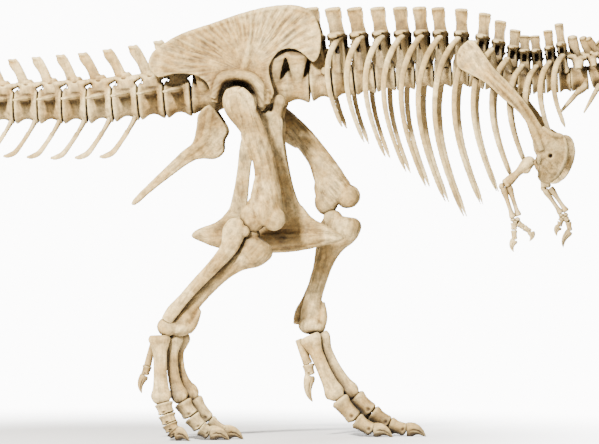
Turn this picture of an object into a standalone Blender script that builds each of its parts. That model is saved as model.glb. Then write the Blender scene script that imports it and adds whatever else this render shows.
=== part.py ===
"""A mounted skeleton of Tyrannosaurus rex, life-size, striding to the right.

Metres, +Z up.  +X is forward, towards the snout, and +Y is the animal's left.
The origin is on the floor, under the middle of the whole length.
Every bone is a few overlapping closed shapes, joined into one body by a Remesh
modifier and then thinned by a Decimate modifier.  Bones of one row, such as ribs
and vertebrae, grow from each other and share one object.
"""

import math

import bmesh
import bpy
from mathutils import Vector

# ---------------------------------------------------------------- driving sizes
# Side-view places are (x, z) with x = 0 under the hip sockets and z = 0 on the floor.
HIP = Vector((-0.10, 0.0, 2.985))  # between the two hip sockets
HIP_HALF = 0.215  # from the midline to the middle of a thigh bone's head
THIGH_OUT = 0.425  # from the midline to the top of its shaft
CUT_GAP = 0.003  # the two halves of the trunk are this far apart

DORSALS = 14  # back vertebrae with ribs, counted forwards
LAST_DORSAL_X = 0.63
DORSAL_PITCH = 0.1948  # between the rearmost two, and each next one is closer
DORSAL_PITCH_LOSS = 0.0065
RIB_ARCH_OUT = 0.62  # half the width of the rib cage at its widest
RIB_LOWEST = 1.94  # lowest rib tip
WIDEST_RIB = 5.5
LOWEST_RIB = 7

CAUDALS = 42  # tail vertebrae, counted backwards
TAIL_START_X = -0.514
CAUDAL_LENGTH = 0.236
CAUDAL_LENGTH_LOSS = 0.0039

SACRALS = 5
CERVICALS = 10
SKULL_BACK = Vector((3.79, 0.0, 3.52))  # the skull's hind end, at the level of the tooth row
SKULL_PITCH = math.radians(-4.0)  # nose down
JAW_OPEN = math.radians(13.0)

# The column's middle line, and half the height of its centra, from tail tip to head.
COLUMN = [
    ((-7.10, 3.23), 0.025), ((-5.90, 3.11), 0.053), ((-4.60, 3.01), 0.083),
    ((-3.30, 2.94), 0.119), ((-2.20, 2.915), 0.146), ((-1.40, 2.93), 0.161),
    ((-0.62, 2.99), 0.164), ((0.00, 3.05), 0.152), ((0.62, 3.115), 0.145),
    ((1.20, 3.18), 0.132), ((1.87, 3.21), 0.118), ((2.40, 3.13), 0.118),
    ((2.78, 3.15), 0.112), ((3.00, 3.175), 0.106), ((3.18, 3.25), 0.100),
    ((3.32, 3.40), 0.094), ((3.42, 3.57), 0.088), ((3.52, 3.73), 0.082),
    ((3.66, 3.85), 0.076), ((3.84, 3.90), 0.060),
]

RIGHT, LEFT = -1, 1
SIDE_NAMES = {RIGHT: "right", LEFT: "left"}

BONE_COLOURS = {
    "head": (0.52, 0.40, 0.24),
    "column": (0.55, 0.44, 0.27),
    "hips": (0.50, 0.39, 0.23),
    "near": (0.53, 0.42, 0.26),
    "far": (0.46, 0.36, 0.22),
}
BONE_ROUGHNESS = 0.62
MOST_THINNING_TRIES = 30


# ---------------------------------------------------------------- small helpers
def mix(a, b, share):
    return a + (b - a) * share


def spline(values, at):
    """The value at a place from 0 to 1 of a smooth curve through evenly counted values."""
    last = len(values) - 1
    step = min(max(int(at * last), 0), last - 1)
    t = at * last - step
    p0, p1 = values[max(step - 1, 0)], values[step]
    p2, p3 = values[step + 1], values[min(step + 2, last)]
    return (
        p1
        + (p2 - p0) * (0.5 * t)
        + (p0 * 2.0 - p1 * 5.0 + p2 * 4.0 - p3) * (0.5 * t * t)
        + (p1 * 3.0 - p0 - p2 * 3.0 + p3) * (0.5 * t * t * t)
    )


def column_at(x):
    """The height of the column's middle line at x, and half its centra's height."""
    for ((x0, z0), r0), ((x1, z1), r1) in zip(COLUMN, COLUMN[1:]):
        if x <= x1:
            share = max(0.0, (x - x0) / (x1 - x0))
            return mix(z0, z1, share), mix(r0, r1, share)
    return COLUMN[-1][0][1], COLUMN[-1][1]


# ---------------------------------------------------------------- shapes in a mesh
def tube(shape, points, sizes, sides=10, rings_per_point=2, across=Vector((0, 1, 0))):
    """A closed tube through points.  Sizes are (half depth in the side view, half width)."""
    points = [Vector(p) for p in points]
    sizes = [Vector((s[0], s[1])) for s in sizes]
    count = rings_per_point * (len(points) - 1) + 1
    middles = [spline(points, i / (count - 1)) for i in range(count)]
    halves = [spline(sizes, i / (count - 1)) for i in range(count)]
    rings = []
    for i, middle in enumerate(middles):
        along = middles[min(i + 1, count - 1)] - middles[max(i - 1, 0)]
        depth = along.cross(across).normalized()
        width = depth.cross(along).normalized()
        ring = []
        for k in range(sides):
            turn = math.tau * (k + 0.5) / sides
            offset = depth * (halves[i][0] * math.cos(turn)) + width * (
                halves[i][1] * math.sin(turn)
            )
            ring.append(shape.verts.new(middle + offset))
        rings.append(ring)
    for low, high in zip(rings, rings[1:]):
        for k in range(sides):
            n = (k + 1) % sides
            shape.faces.new((low[k], low[n], high[n], high[k]))
    shape.faces.new(list(reversed(rings[0])))
    shape.faces.new(rings[-1])


def ball(shape, centre, radii):
    """An ellipsoid with its half sizes along X, Y and Z."""
    made = bmesh.ops.create_icosphere(shape, subdivisions=3, radius=1.0)["verts"]
    bmesh.ops.scale(shape, vec=Vector(radii), verts=made)
    bmesh.ops.translate(shape, vec=Vector(centre), verts=made)


def block(shape, low, high):
    """A box between two corners."""
    low, high = Vector(low), Vector(high)
    made = bmesh.ops.create_cube(shape, size=1.0)["verts"]
    bmesh.ops.scale(shape, vec=high - low, verts=made)
    bmesh.ops.translate(shape, vec=(low + high) / 2, verts=made)


def plate(shape, outline, middle, thickness, points_per_step=3):
    """A plate with a smooth closed outline in the side view.

    middle(x, z) is how far out the plate's middle lies, and thickness(x, z) is its
    whole thickness there.
    """
    loop = [Vector(p) for p in outline]
    loop = loop[-1:] + loop + loop[:2]
    corners = []
    for i in range(len(outline)):
        for k in range(points_per_step):
            corners.append(spline(loop[i : i + 4], (1 + k / points_per_step) / 3))
    near, far = [], []
    for x, z in corners:
        y, half = middle(x, z), thickness(x, z) / 2
        near.append(shape.verts.new((x, y - half, z)))
        far.append(shape.verts.new((x, y + half, z)))
    count = len(corners)
    sides = []
    for i in range(count):
        n = (i + 1) % count
        sides.append(shape.faces.new((near[i], near[n], far[n], far[i])))
    caps = [shape.faces.new(near), shape.faces.new(list(reversed(far)))]
    bmesh.ops.triangulate(shape, faces=caps)
    bmesh.ops.recalc_face_normals(shape, faces=shape.faces)


# ---------------------------------------------------------------- objects
def bone_material(name, colour):
    material = bpy.data.materials.new(name)
    material.use_nodes = True
    shader = material.node_tree.nodes["Principled BSDF"]
    shader.inputs["Base Color"].default_value = (*colour, 1.0)
    shader.inputs["Roughness"].default_value = BONE_ROUGHNESS
    shader.inputs["Metallic"].default_value = 0.0
    return material


def hidden_or_shown(name, shape, hidden=False):
    """Puts a shape in the scene; a hidden one is a helper."""
    bmesh.ops.recalc_face_normals(shape, faces=shape.faces)
    mesh = bpy.data.meshes.new(name)
    shape.to_mesh(mesh)
    shape.free()
    obj = bpy.data.objects.new(name, mesh)
    if hidden:
        obj.hide_render = True
        obj.display_type = "WIRE"
    bpy.context.scene.collection.objects.link(obj)
    return obj


def cutter(name, low, high):
    """A hidden block that cuts bones flat."""
    shape = bmesh.new()
    block(shape, low, high)
    return hidden_or_shown(name, shape, hidden=True)


def take_away(obj, hollow):
    cut = obj.modifiers.new(hollow.name, "BOOLEAN")
    cut.operation = "DIFFERENCE"
    cut.object = hollow


def connected(shape):
    """The groups of connected points of a mesh."""
    groups, seen = [], set()
    for start in shape.verts:
        if start in seen:
            continue
        group, edge_of_group = {start}, [start]
        while edge_of_group:
            point = edge_of_group.pop()
            for link in point.link_edges:
                other = link.other_vert(point)
                if other not in group:
                    group.add(other)
                    edge_of_group.append(other)
        seen |= group
        groups.append(group)
    return groups


def shape_of(obj):
    """The object's shape with its modifiers, as a mesh to work on."""
    bpy.context.view_layer.update()
    evaluated = obj.evaluated_get(bpy.context.evaluated_depsgraph_get())
    shape = bmesh.new()
    shape.from_mesh(evaluated.to_mesh())
    evaluated.to_mesh_clear()
    return shape


def is_one_closed_body(obj):
    shape = shape_of(obj)
    whole = all(edge.is_manifold for edge in shape.edges) and len(connected(shape)) == 1
    shape.free()
    return whole


def bone(name, shape, colour, faces=None, grain=0.010, carve=(), floor=None):
    """Makes one bone of overlapping shapes.

    grain is the size of the finest detail that is kept, and faces is how many
    triangles stay; without it the shape is one closed piece and stays as it is.
    carve are hidden shapes that are taken away, and floor is one that cuts the
    finished bone flat.
    """
    obj = hidden_or_shown(name, shape)
    obj.data.materials.append(bone_material(name, BONE_COLOURS[colour]))
    if faces is not None:
        joined = obj.modifiers.new("joined", "REMESH")
        joined.mode = "VOXEL"
        joined.voxel_size = grain
        for hollow in carve:
            take_away(obj, hollow)
        dense = shape_of(obj)
        crumbs = sorted(connected(dense), key=len)[:-1]
        bmesh.ops.delete(dense, geom=[point for group in crumbs for point in group])
        bmesh.ops.triangulate(dense, faces=dense.faces)
        obj.modifiers.clear()
        dense.to_mesh(obj.data)
        thin = obj.modifiers.new("thin", "DECIMATE")
        thin.ratio = faces / len(dense.faces)
        dense.free()
        # Thinned hard, a slender bone can pinch shut, so a few more triangles may stay.
        for _ in range(MOST_THINNING_TRIES):
            if is_one_closed_body(obj):
                break
            thin.ratio *= 1.01
        else:
            print(name, "is not one closed body")
    if floor is not None:
        take_away(obj, floor)
    obj.data.shade_smooth()
    return obj


# ---------------------------------------------------------------- the column
def spine_plate(shape, base, top, lengths, half_width):
    """A flat spine from base to top; lengths are its half lengths low and high."""
    tube(
        shape,
        [base, base.lerp(top, 0.5), base.lerp(top, 0.85), top],
        [
            (lengths[0], half_width),
            (lengths[0] * 0.85, half_width),
            (lengths[1] * 0.95, half_width * 1.2),
            (lengths[1] * 0.8, half_width),
        ],
        sides=8,
        rings_per_point=1,
    )


def centra(shape, start_x, end_x, count, width_share=1.0):
    """Spool-shaped centra in a row, each waisted, joined at their rims."""
    points, sizes = [], []
    for i in range(2 * count + 1):
        x = mix(start_x, end_x, i / (2 * count))
        z, half = column_at(x)
        waist = 1.0 if i % 2 == 0 else 0.80
        points.append((x, 0, z))
        sizes.append((half * waist, half * waist * width_share))
    tube(shape, points, sizes, sides=10, rings_per_point=1)


def tail():
    """Forty-two vertebrae in three lengths, with chevron bones under the joints."""
    lengths = [CAUDAL_LENGTH - CAUDAL_LENGTH_LOSS * k for k in range(CAUDALS)]
    joints = [TAIL_START_X]
    for length in lengths:
        joints.append(joints[-1] - length)
    parts = [("tail_base", 0, 10, 600), ("tail_middle", 10, 22, 440), ("tail_end", 22, CAUDALS, 260)]
    for name, first, last, faces in parts:
        shape = bmesh.new()
        start = joints[first] - 0.008
        end = joints[last] + (0.008 if last < CAUDALS else 0.0)
        centra(shape, start, end, last - first)
        for k in range(first, last):
            share = k / (CAUDALS - 1)
            middle_x = (joints[k] + joints[k + 1]) / 2
            z, half = column_at(middle_x)
            rise = mix(0.47, 0.02, share**0.72)
            lean = rise * 0.30
            if k < CAUDALS - 4:
                spine_plate(
                    shape,
                    Vector((middle_x, 0, z + half * 0.5)),
                    Vector((middle_x - lean, 0, z + half * 0.3 + rise)),
                    (lengths[k] * 0.24, lengths[k] * 0.30),
                    mix(0.028, 0.014, share),
                )
            reach = mix(0.27, 0.0, min(1.0, k / 16))
            if reach > 0.05:
                for side in (RIGHT, LEFT):
                    tube(
                        shape,
                        [
                            (middle_x, 0, z + half * 0.35),
                            (middle_x - reach * 0.15, side * (half + reach) * 0.6, z + half * 0.40),
                            (middle_x - reach * 0.35, side * (half + reach), z + half * 0.35),
                        ],
                        [(0.028, lengths[k] * 0.22), (0.022, lengths[k] * 0.20), (0.016, 0.035)],
                        sides=6,
                        rings_per_point=1,
                        across=Vector((1, 0, 0)),
                    )
            if 2 <= k < 34:
                chevron(shape, joints[k] - 0.03 - 0.008 * (k == first), mix(0.36, 0.06, (k - 2) / 32))
        bone(name, shape, "column", faces, grain=0.009)


def chevron(shape, x, drop):
    """A chevron bone that hangs back from under a joint and ends in a foot."""
    z, half = column_at(x)
    top = z - half * 0.85
    thick = mix(0.014, 0.024, drop / 0.36)
    tube(
        shape,
        [
            (x, 0, top + half * 0.25),
            (x - drop * 0.30, 0, top - drop * 0.45),
            (x - drop * 0.60, 0, top - drop * 0.90),
            (x - drop * 0.90, 0, top - drop * 0.96),
        ],
        [
            (thick * 1.3, thick * 1.6),
            (thick, thick * 0.8),
            (thick * 1.2, thick * 0.7),
            (thick * 0.7, thick * 0.6),
        ],
        sides=6,
        rings_per_point=2,
    )


def sacrum():
    """Five joined vertebrae between the hip blades, with their ribs and a low crest."""
    shape = bmesh.new()
    start, end = TAIL_START_X + 0.008, LAST_DORSAL_X - 0.118
    centra(shape, start, end, SACRALS, width_share=0.70)
    pitch = (end - start) / SACRALS
    for i in range(SACRALS):
        x = start + pitch * (i + 0.5)
        z, half = column_at(x)
        crest = 3.50 + 0.14 * math.sin(math.pi * (i + 0.7) / (SACRALS + 0.4))
        spine_plate(
            shape, Vector((x, 0, z)), Vector((x - 0.02, 0, crest)), (pitch * 0.44, pitch * 0.52), 0.024
        )
        for side in (RIGHT, LEFT):
            tube(
                shape,
                [(x, 0, z + 0.05), (x, side * 0.10, z + 0.13), (x, side * 0.135, z + 0.19)],
                [(0.05, 0.06), (0.035, 0.05), (0.03, 0.05)],
                sides=6,
                rings_per_point=1,
                across=Vector((1, 0, 0)),
            )
    bone("sacrum", shape, "column", 270)


def dorsal_x(i):
    """Where the spine of back vertebra i is, 0 being the one without a rib before the hips."""
    return LAST_DORSAL_X + DORSAL_PITCH * i - DORSAL_PITCH_LOSS * i * (i - 1) / 2


def dorsal_top(x):
    """The line of the spines' tops over the trunk: flat over the hips, low at the shoulders."""
    sag = math.exp(-(((x - 2.47) / 0.36) ** 2))
    return 3.795 - 0.245 * sag - 0.02 * max(0.0, x - 1.5)


def rib(shape, i, side):
    """Rib i: from its vertebra out and down in a bow that first leans back."""
    x = dorsal_x(i) - 0.02
    root_z = dorsal_top(x) - 0.285
    tip_z = RIB_LOWEST + (0.130 * (LOWEST_RIB - i) if i <= LOWEST_RIB else 0.113 * (i - LOWEST_RIB))
    length = root_z - tip_z
    out = RIB_ARCH_OUT * (1 - (i - WIDEST_RIB) ** 2 / (63.0 if i < WIDEST_RIB else 126.0))
    z, half = column_at(x)
    points = [(x + 0.02, side * half * 0.55, z + half * 0.75), (x, side * out * 0.42, root_z - 0.01)]
    sizes = [(0.022, 0.022), (0.030, 0.020)]
    steps = 7
    for k in range(1, steps + 1):
        t = k / steps
        lean = -0.125 * length * math.sin(math.pi * t**0.75) + 0.04 * length * t**3
        spread = out * (1 - 0.58 * (1 - t) ** 5 - 0.30 * t**3 * min(1.0, length / 1.3))
        points.append((x + lean, side * spread, root_z - length * t))
        sizes.append((mix(0.031, 0.024, t), mix(0.018, 0.014, t)))
    tube(shape, points, sizes, sides=6, rings_per_point=1)


def trunk_half(side, cut):
    """One side of the trunk: half of each back vertebra with its rib."""
    shape = bmesh.new()
    start = LAST_DORSAL_X - 0.105
    front = dorsal_x(DORSALS) + 0.055
    points, sizes = [], []
    for i in range(DORSALS + 1):
        for waisted in (False, True):
            x = dorsal_x(i + 0.5 * waisted) - 0.5 * (dorsal_x(1) - dorsal_x(0))
            x = min(max(x, start), front)
            z, half = column_at(x)
            waist = 0.80 if waisted else 1.0
            points.append((x, 0, z))
            sizes.append((half * waist, half * waist * 0.9))
    z, half = column_at(front)
    points.append((front, 0, z))
    sizes.append((half, half * 0.9))
    tube(shape, points, sizes, sides=10, rings_per_point=1)
    for i in range(DORSALS + 1):
        x = dorsal_x(i)
        z, half = column_at(x)
        top = dorsal_top(x)
        pitch = dorsal_x(i + 1) - x
        length = mix(0.062, 0.042, i / DORSALS)
        lean = -0.03 if i else -0.06
        tube(
            shape,
            [(x, 0, z), (x, 0, z + half), (x, 0, top - 0.27)],
            [(pitch * 0.30, 0.05), (pitch * 0.28, 0.055), (pitch * 0.36, 0.075)],
            sides=8,
            rings_per_point=1,
        )
        spine_plate(
            shape,
            Vector((x, 0, top - 0.32)),
            Vector((x + lean * 0.5, 0, top)),
            (length, length * 1.1),
            0.023,
        )
        reach = 0.26 if i else 0.13
        tube(
            shape,
            [
                (x, 0, top - 0.27),
                (x - 0.01, side * reach * 0.6, top - 0.265),
                (x - 0.02, side * reach, top - 0.27),
            ],
            [(0.028, pitch * 0.36), (0.022, pitch * 0.30), (0.020, pitch * 0.20)],
            sides=6,
            rings_per_point=1,
            across=Vector((1, 0, 0)),
        )
        if i:
            rib(shape, i, side)
    return bone(f"trunk_{SIDE_NAMES[side]}", shape, "column", 1160, carve=[cut])


def mirrored(name, source, colour):
    """The same bone for the other side of the body."""
    shape = shape_of(source)
    bmesh.ops.scale(shape, vec=Vector((1, -1, 1)), verts=shape.verts)
    return bone(name, shape, colour)


def neck():
    """Ten vertebrae in an S-bend, with broad low spines and short ribs that trail back."""
    path = [Vector((x, 0, z)) for (x, z), _ in COLUMN if x > 2.75]
    halves = [Vector((r, r)) for (x, _), r in COLUMN if x > 2.75]
    first, last = 0.0365, 0.955
    shape = bmesh.new()
    points, sizes = [], []
    for i in range(2 * CERVICALS + 1):
        at = mix(first, last, i / (2 * CERVICALS))
        waist = 1.0 if i % 2 == 0 else 0.82
        half = spline(halves, at)[0] * waist
        points.append(spline(path, at))
        sizes.append((half, half))
    tube(shape, points, sizes, sides=10, rings_per_point=1)
    for i in range(CERVICALS):
        at = mix(first, last, (i + 0.5) / CERVICALS)
        here = spline(path, at)
        along = (spline(path, min(1.0, at + 0.03)) - spline(path, at - 0.03)).normalized()
        up = Vector((-along.z, 0, along.x))
        half = spline(halves, at)[0]
        rise = half + mix(0.27, 0.13, i / (CERVICALS - 1)) - (0.06 if 3 <= i <= 6 else 0.0)
        spine_plate(shape, here + up * half * 0.4, here + up * rise - along * 0.02, (0.045, 0.042), 0.026)
        for side in (RIGHT, LEFT):
            out = Vector((0, side, 0))
            tube(
                shape,
                [
                    here + up * half * 0.5,
                    here + up * half * 0.9 + out * half * 1.5,
                    here + up * half * 0.7 + out * half * 2.05 - along * 0.02,
                ],
                [(0.045, 0.05), (0.035, 0.05), (0.025, 0.04)],
                sides=6,
                rings_per_point=1,
                across=along,
            )
            trail = mix(0.30, 0.12, i / (CERVICALS - 1))
            back = (along * -0.72 - up * 0.69).normalized()
            tube(
                shape,
                [
                    here - up * half * 0.4 + out * half * 0.6,
                    here - up * half * 0.9 + out * half * 1.15,
                    here - up * half * 0.9 + out * half * 1.2 + back * trail * 0.5,
                    here - up * half * 0.9 + out * half * 1.1 + back * trail,
                ],
                [(0.03, 0.025), (0.030, 0.020), (0.020, 0.015), (0.013, 0.012)],
                sides=6,
                rings_per_point=1,
            )
    bone("neck", shape, "column", 600, grain=0.009)


# ---------------------------------------------------------------- hips
def hip_girdle():
    """The hip blades, the joined pubic bones with their boot, and the sit bones."""
    for side in (RIGHT, LEFT):
        side_name = SIDE_NAMES[side]
        shape = bmesh.new()
        plate(
            shape,
            ILIUM,
            lambda x, z, s=side: s * mix(0.235, 0.150, (z - 2.9) / 0.9),
            lambda x, z: 0.060 if z > 3.45 else 0.075,
        )
        rim = [(0.10, 2.88), (0.11, 3.05), (0.04, 3.15), (-0.10, 3.19), (-0.24, 3.15), (-0.29, 2.97)]
        tube(
            shape,
            [(x, side * mix(0.245, 0.225, (z - 2.9) / 0.4), z) for x, z in rim],
            [(0.030, 0.045), (0.045, 0.050), (0.042, 0.055), (0.040, 0.055), (0.042, 0.050), (0.028, 0.04)],
        )
        bone(f"ilium_{side_name}", shape, "hips", 270)

        shape = bmesh.new()
        plate(
            shape,
            ISCHIUM,
            lambda x, z, s=side: s * max(0.034, mix(0.034, 0.205, (z - 2.45) / 0.5)),
            lambda x, z: 0.050,
        )
        bone(f"ischium_{side_name}", shape, "hips", 120)

    shape = bmesh.new()
    for side in (RIGHT, LEFT):
        plate(
            shape,
            PUBIS_SHAFT,
            lambda x, z, s=side: s * mix(0.05, 0.205, (z - 1.9) / 1.05),
            lambda x, z: 0.070,
        )
    plate(shape, PUBIS_APRON, lambda x, z: 0.0, lambda x, z: 0.045)
    plate(shape, PUBIS_BOOT, lambda x, z: 0.0, lambda x, z: 0.15 if 1.66 < z < 1.90 else 0.09)
    bone("pubis", shape, "hips", 340)


ILIUM = [
    (-0.87, 3.34), (-0.80, 3.43), (-0.62, 3.53), (-0.30, 3.64), (-0.05, 3.73), (0.18, 3.785),
    (0.38, 3.80), (0.54, 3.76), (0.61, 3.64), (0.64, 3.53), (0.63, 3.38), (0.57, 3.30),
    (0.46, 3.39), (0.36, 3.42), (0.26, 3.385), (0.185, 3.26), (0.205, 3.12), (0.23, 3.02),
    (0.17, 2.92), (0.12, 2.87), (0.085, 2.95), (0.055, 3.04), (-0.01, 3.11), (-0.11, 3.135),
    (-0.20, 3.105), (-0.255, 3.02), (-0.27, 2.94), (-0.325, 3.01), (-0.36, 3.12), (-0.48, 3.19),
    (-0.64, 3.20), (-0.79, 3.17), (-0.87, 3.25),
]
ISCHIUM = [
    (-0.34, 2.93), (-0.44, 2.85), (-0.46, 2.75), (-0.50, 2.60), (-0.60, 2.52), (-0.80, 2.33),
    (-1.03, 2.10), (-1.02, 2.05), (-0.90, 2.15), (-0.68, 2.32), (-0.48, 2.45), (-0.31, 2.455),
    (-0.23, 2.52), (-0.225, 2.62), (-0.19, 2.71), (-0.27, 2.85),
]
PUBIS_SHAFT = [
    (0.175, 2.885), (0.21, 2.835), (0.30, 2.80), (0.30, 2.65), (0.325, 2.47), (0.37, 2.26),
    (0.43, 2.08), (0.53, 1.94), (0.50, 1.84), (0.36, 1.86), (0.27, 2.04), (0.20, 2.30),
    (0.17, 2.50), (0.15, 2.70), (0.10, 2.80), (0.11, 2.855),
]
PUBIS_APRON = [
    (0.13, 2.62), (0.15, 2.55), (0.10, 2.35), (0.02, 2.14), (-0.04, 1.98), (0.02, 1.85),
    (-0.20, 1.83), (-0.24, 1.93), (-0.16, 2.02), (-0.10, 2.20), (-0.075, 2.38), (-0.06, 2.55),
    (-0.02, 2.66),
]
PUBIS_BOOT = [
    (0.40, 2.05), (0.53, 1.94), (0.68, 1.86), (0.80, 1.79), (0.82, 1.745), (0.68, 1.70),
    (0.49, 1.655), (0.30, 1.63), (0.08, 1.63), (-0.14, 1.645), (-0.30, 1.675), (-0.42, 1.72),
    (-0.52, 1.775), (-0.46, 1.84), (-0.30, 1.90), (-0.16, 2.00), (0.0, 1.90), (0.15, 1.90),
    (0.27, 1.98),
]


# ---------------------------------------------------------------- legs
# (share of the way down, how far forward of the straight line, half depth, half width)
FEMUR_STATIONS = [
    (0.00, 0.00, 0.060, 0.060), (0.07, 0.00, 0.120, 0.105), (0.155, 0.02, 0.135, 0.115),
    (0.25, 0.06, 0.118, 0.105), (0.36, 0.095, 0.105, 0.098), (0.50, 0.115, 0.103, 0.096),
    (0.66, 0.105, 0.108, 0.100), (0.79, 0.070, 0.134, 0.125), (0.87, 0.025, 0.180, 0.160),
    (0.94, 0.00, 0.182, 0.165), (1.00, -0.01, 0.120, 0.120),
]
TIBIA_STATIONS = [
    (0.00, 0.020, 0.120, 0.100), (0.05, 0.025, 0.180, 0.140), (0.13, 0.025, 0.172, 0.125),
    (0.25, -0.005, 0.128, 0.090), (0.40, -0.030, 0.098, 0.076), (0.60, -0.045, 0.088, 0.070),
    (0.78, -0.045, 0.092, 0.082), (0.90, -0.020, 0.120, 0.125), (1.00, 0.000, 0.112, 0.120),
]
FIBULA_STATIONS = [
    (0.00, 0.00, 0.045, 0.025), (0.07, 0.00, 0.100, 0.035), (0.17, 0.01, 0.112, 0.036),
    (0.30, 0.015, 0.072, 0.032), (0.45, 0.010, 0.042, 0.028), (0.65, 0.000, 0.037, 0.026),
    (0.88, 0.000, 0.042, 0.028), (1.00, 0.000, 0.048, 0.030),
]
METATARSAL_STATIONS = [
    (0.00, 0.00, 1.30, 0.90), (0.10, 0.00, 1.25, 0.95), (0.30, -0.02, 0.85, 0.80),
    (0.55, -0.02, 0.80, 0.80), (0.78, -0.01, 0.98, 0.95), (0.92, 0.00, 1.25, 1.10),
    (1.00, 0.00, 0.95, 0.95),
]


def shaft(shape, stations, top, bottom, scale=(1.0, 1.0), sides=10):
    """A long bone from top to bottom, swelling and bending as its stations say."""
    top, bottom = Vector(top), Vector(bottom)
    axis = (bottom - top).normalized()
    forward = Vector((0, 1, 0)).cross(axis).normalized() * -1.0
    points = [top.lerp(bottom, s[0]) + forward * s[1] for s in stations]
    sizes = [(s[2] * scale[0], s[3] * scale[1]) for s in stations]
    tube(shape, points, sizes, sides=sides)


def leg(side, places, colour, floor):
    """A leg from the head of the thigh bone to the claws, at the given places."""
    name = SIDE_NAMES[side]

    shape = bmesh.new()
    top = places["hip_top"]
    shaft(shape, FEMUR_STATIONS, (top[0], side * THIGH_OUT, top[1]), places["knee"])
    head = Vector((HIP.x, side * HIP_HALF, HIP.z))
    ball(shape, head, (0.112, 0.095, 0.112))
    tube(
        shape,
        [head, (HIP.x + 0.005, side * 0.31, HIP.z - 0.01), (top[0], side * THIGH_OUT, top[1] - 0.10)],
        [(0.075, 0.075), (0.078, 0.078), (0.09, 0.09)],
        across=Vector((0, 0, 1)),
    )
    bone(f"femur_{name}", shape, colour, 190)

    shape = bmesh.new()
    shaft(shape, TIBIA_STATIONS, places["shin_top"], places["shin_end"])
    ball(shape, places["ankle"], (0.105, 0.115, 0.072))
    bone(f"tibia_{name}", shape, colour, 180)

    shape = bmesh.new()
    shaft(shape, FIBULA_STATIONS, places["fibula_top"], places["fibula_end"], sides=8)
    bone(f"fibula_{name}", shape, colour, 80)

    for digit, (root, head_place, tip) in places["digits"].items():
        shape = bmesh.new()
        pinch = 0.72 if digit == 3 else 1.0
        shaft(
            shape,
            METATARSAL_STATIONS,
            root,
            head_place,
            scale=(0.070 * pinch, 0.052),
            sides=8,
        )
        bone(f"metatarsal_{digit}_{name}", shape, colour, 64, grain=0.008)
        toe(f"toe_{digit}_{name}", Vector(head_place), Vector(tip), digit, colour, floor)

    shape = bmesh.new()
    upper, joint, tip = (Vector(p) for p in places["spur"])
    tube(
        shape,
        [
            upper,
            upper.lerp(joint, 0.5),
            joint,
            joint.lerp(tip, 0.25),
            joint.lerp(tip, 0.62) + SPUR_BOW,
            tip,
        ],
        [(0.017, 0.015), (0.017, 0.016), (0.031, 0.024), (0.027, 0.022), (0.020, 0.016), (0.008, 0.008)],
        sides=8,
    )
    bone(f"toe_1_{name}", shape, colour, 48, grain=0.006)


SPUR_BOW = Vector((-0.022, 0, 0))
TOE_LOW = 0.036  # height of the middle of a toe bone, which the floor cuts flat


def toe(name, start, tip, digit, colour, floor):
    """A toe: digit bones in a row down to the floor, then a curved claw."""
    bones = digit  # the second toe has two bones before its claw, the third three, the fourth four
    claw_share = 0.30
    reach = tip - start
    first = start + reach.normalized() * 0.016 + Vector((0, 0, -0.078))
    points, sizes = [start + Vector((0, 0, -0.019))], [(0.058, 0.052)]
    for i in range(2 * bones + 1):
        share = i / (2 * bones) * (1 - claw_share)
        place = first.lerp(Vector((tip.x, tip.y, first.z)), share)
        place.z = TOE_LOW + (first.z - TOE_LOW) * (1 - share / (1 - claw_share)) ** 2.1
        at_joint = i % 2 == 0
        taper = mix(1.0, 0.74, share / (1 - claw_share))
        half = (0.066 if at_joint else 0.048) * taper
        points.append(place)
        sizes.append((half, half * 0.88))
    root = points[-1]
    claw = [(0.25, 0.018, 0.050), (0.55, 0.010, 0.038), (0.82, -0.016, 0.022), (1.0, -0.052, 0.009)]
    for share, rise, half in claw:
        place = root.lerp(Vector((tip.x, tip.y, root.z)), share)
        points.append(place + Vector((0, 0, rise)))
        sizes.append((half, half * 0.75))
    shape = bmesh.new()
    tube(shape, points, sizes, sides=8)
    bone(name, shape, colour, 104, grain=0.008, floor=floor)


RIGHT_LEG = {
    "hip_top": (-0.115, 3.07),
    "knee": (0.175, -0.425, 1.855),
    "shin_top": (0.115, -0.40, 1.765),
    "shin_end": (-0.595, -0.385, 0.985),
    "ankle": (-0.655, -0.385, 1.00),
    "fibula_top": (-0.095, -0.548, 1.915),
    "fibula_end": (-0.735, -0.500, 1.085),
    "digits": {
        2: ((-0.605, -0.285, 0.915), (-0.505, -0.265, 0.365), (-0.035, -0.235, 0.01)),
        3: ((-0.640, -0.375, 0.915), (-0.585, -0.375, 0.350), (-0.145, -0.400, 0.01)),
        4: ((-0.755, -0.455, 0.915), (-0.735, -0.490, 0.345), (-0.480, -0.570, 0.01)),
    },
    "spur": ((-0.85, -0.33, 0.76), (-0.885, -0.325, 0.59), (-0.955, -0.33, 0.415)),
}
LEFT_LEG = {
    "hip_top": (-0.085, 3.09),
    "knee": (0.790, 0.425, 2.060),
    "shin_top": (0.790, 0.40, 1.955),
    "shin_end": (0.525, 0.385, 0.975),
    "ankle": (0.480, 0.385, 0.985),
    "fibula_top": (0.635, 0.548, 1.955),
    "fibula_end": (0.375, 0.500, 1.075),
    "digits": {
        2: ((0.500, 0.285, 0.895), (0.745, 0.265, 0.350), (1.250, 0.215, 0.01)),
        3: ((0.585, 0.370, 0.905), (0.885, 0.360, 0.370), (1.540, 0.330, 0.01)),
        4: ((0.530, 0.475, 0.895), (0.835, 0.480, 0.355), (1.330, 0.510, 0.01)),
    },
    "spur": ((0.405, 0.30, 0.80), (0.485, 0.29, 0.60), (0.487, 0.28, 0.31)),
}


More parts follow.
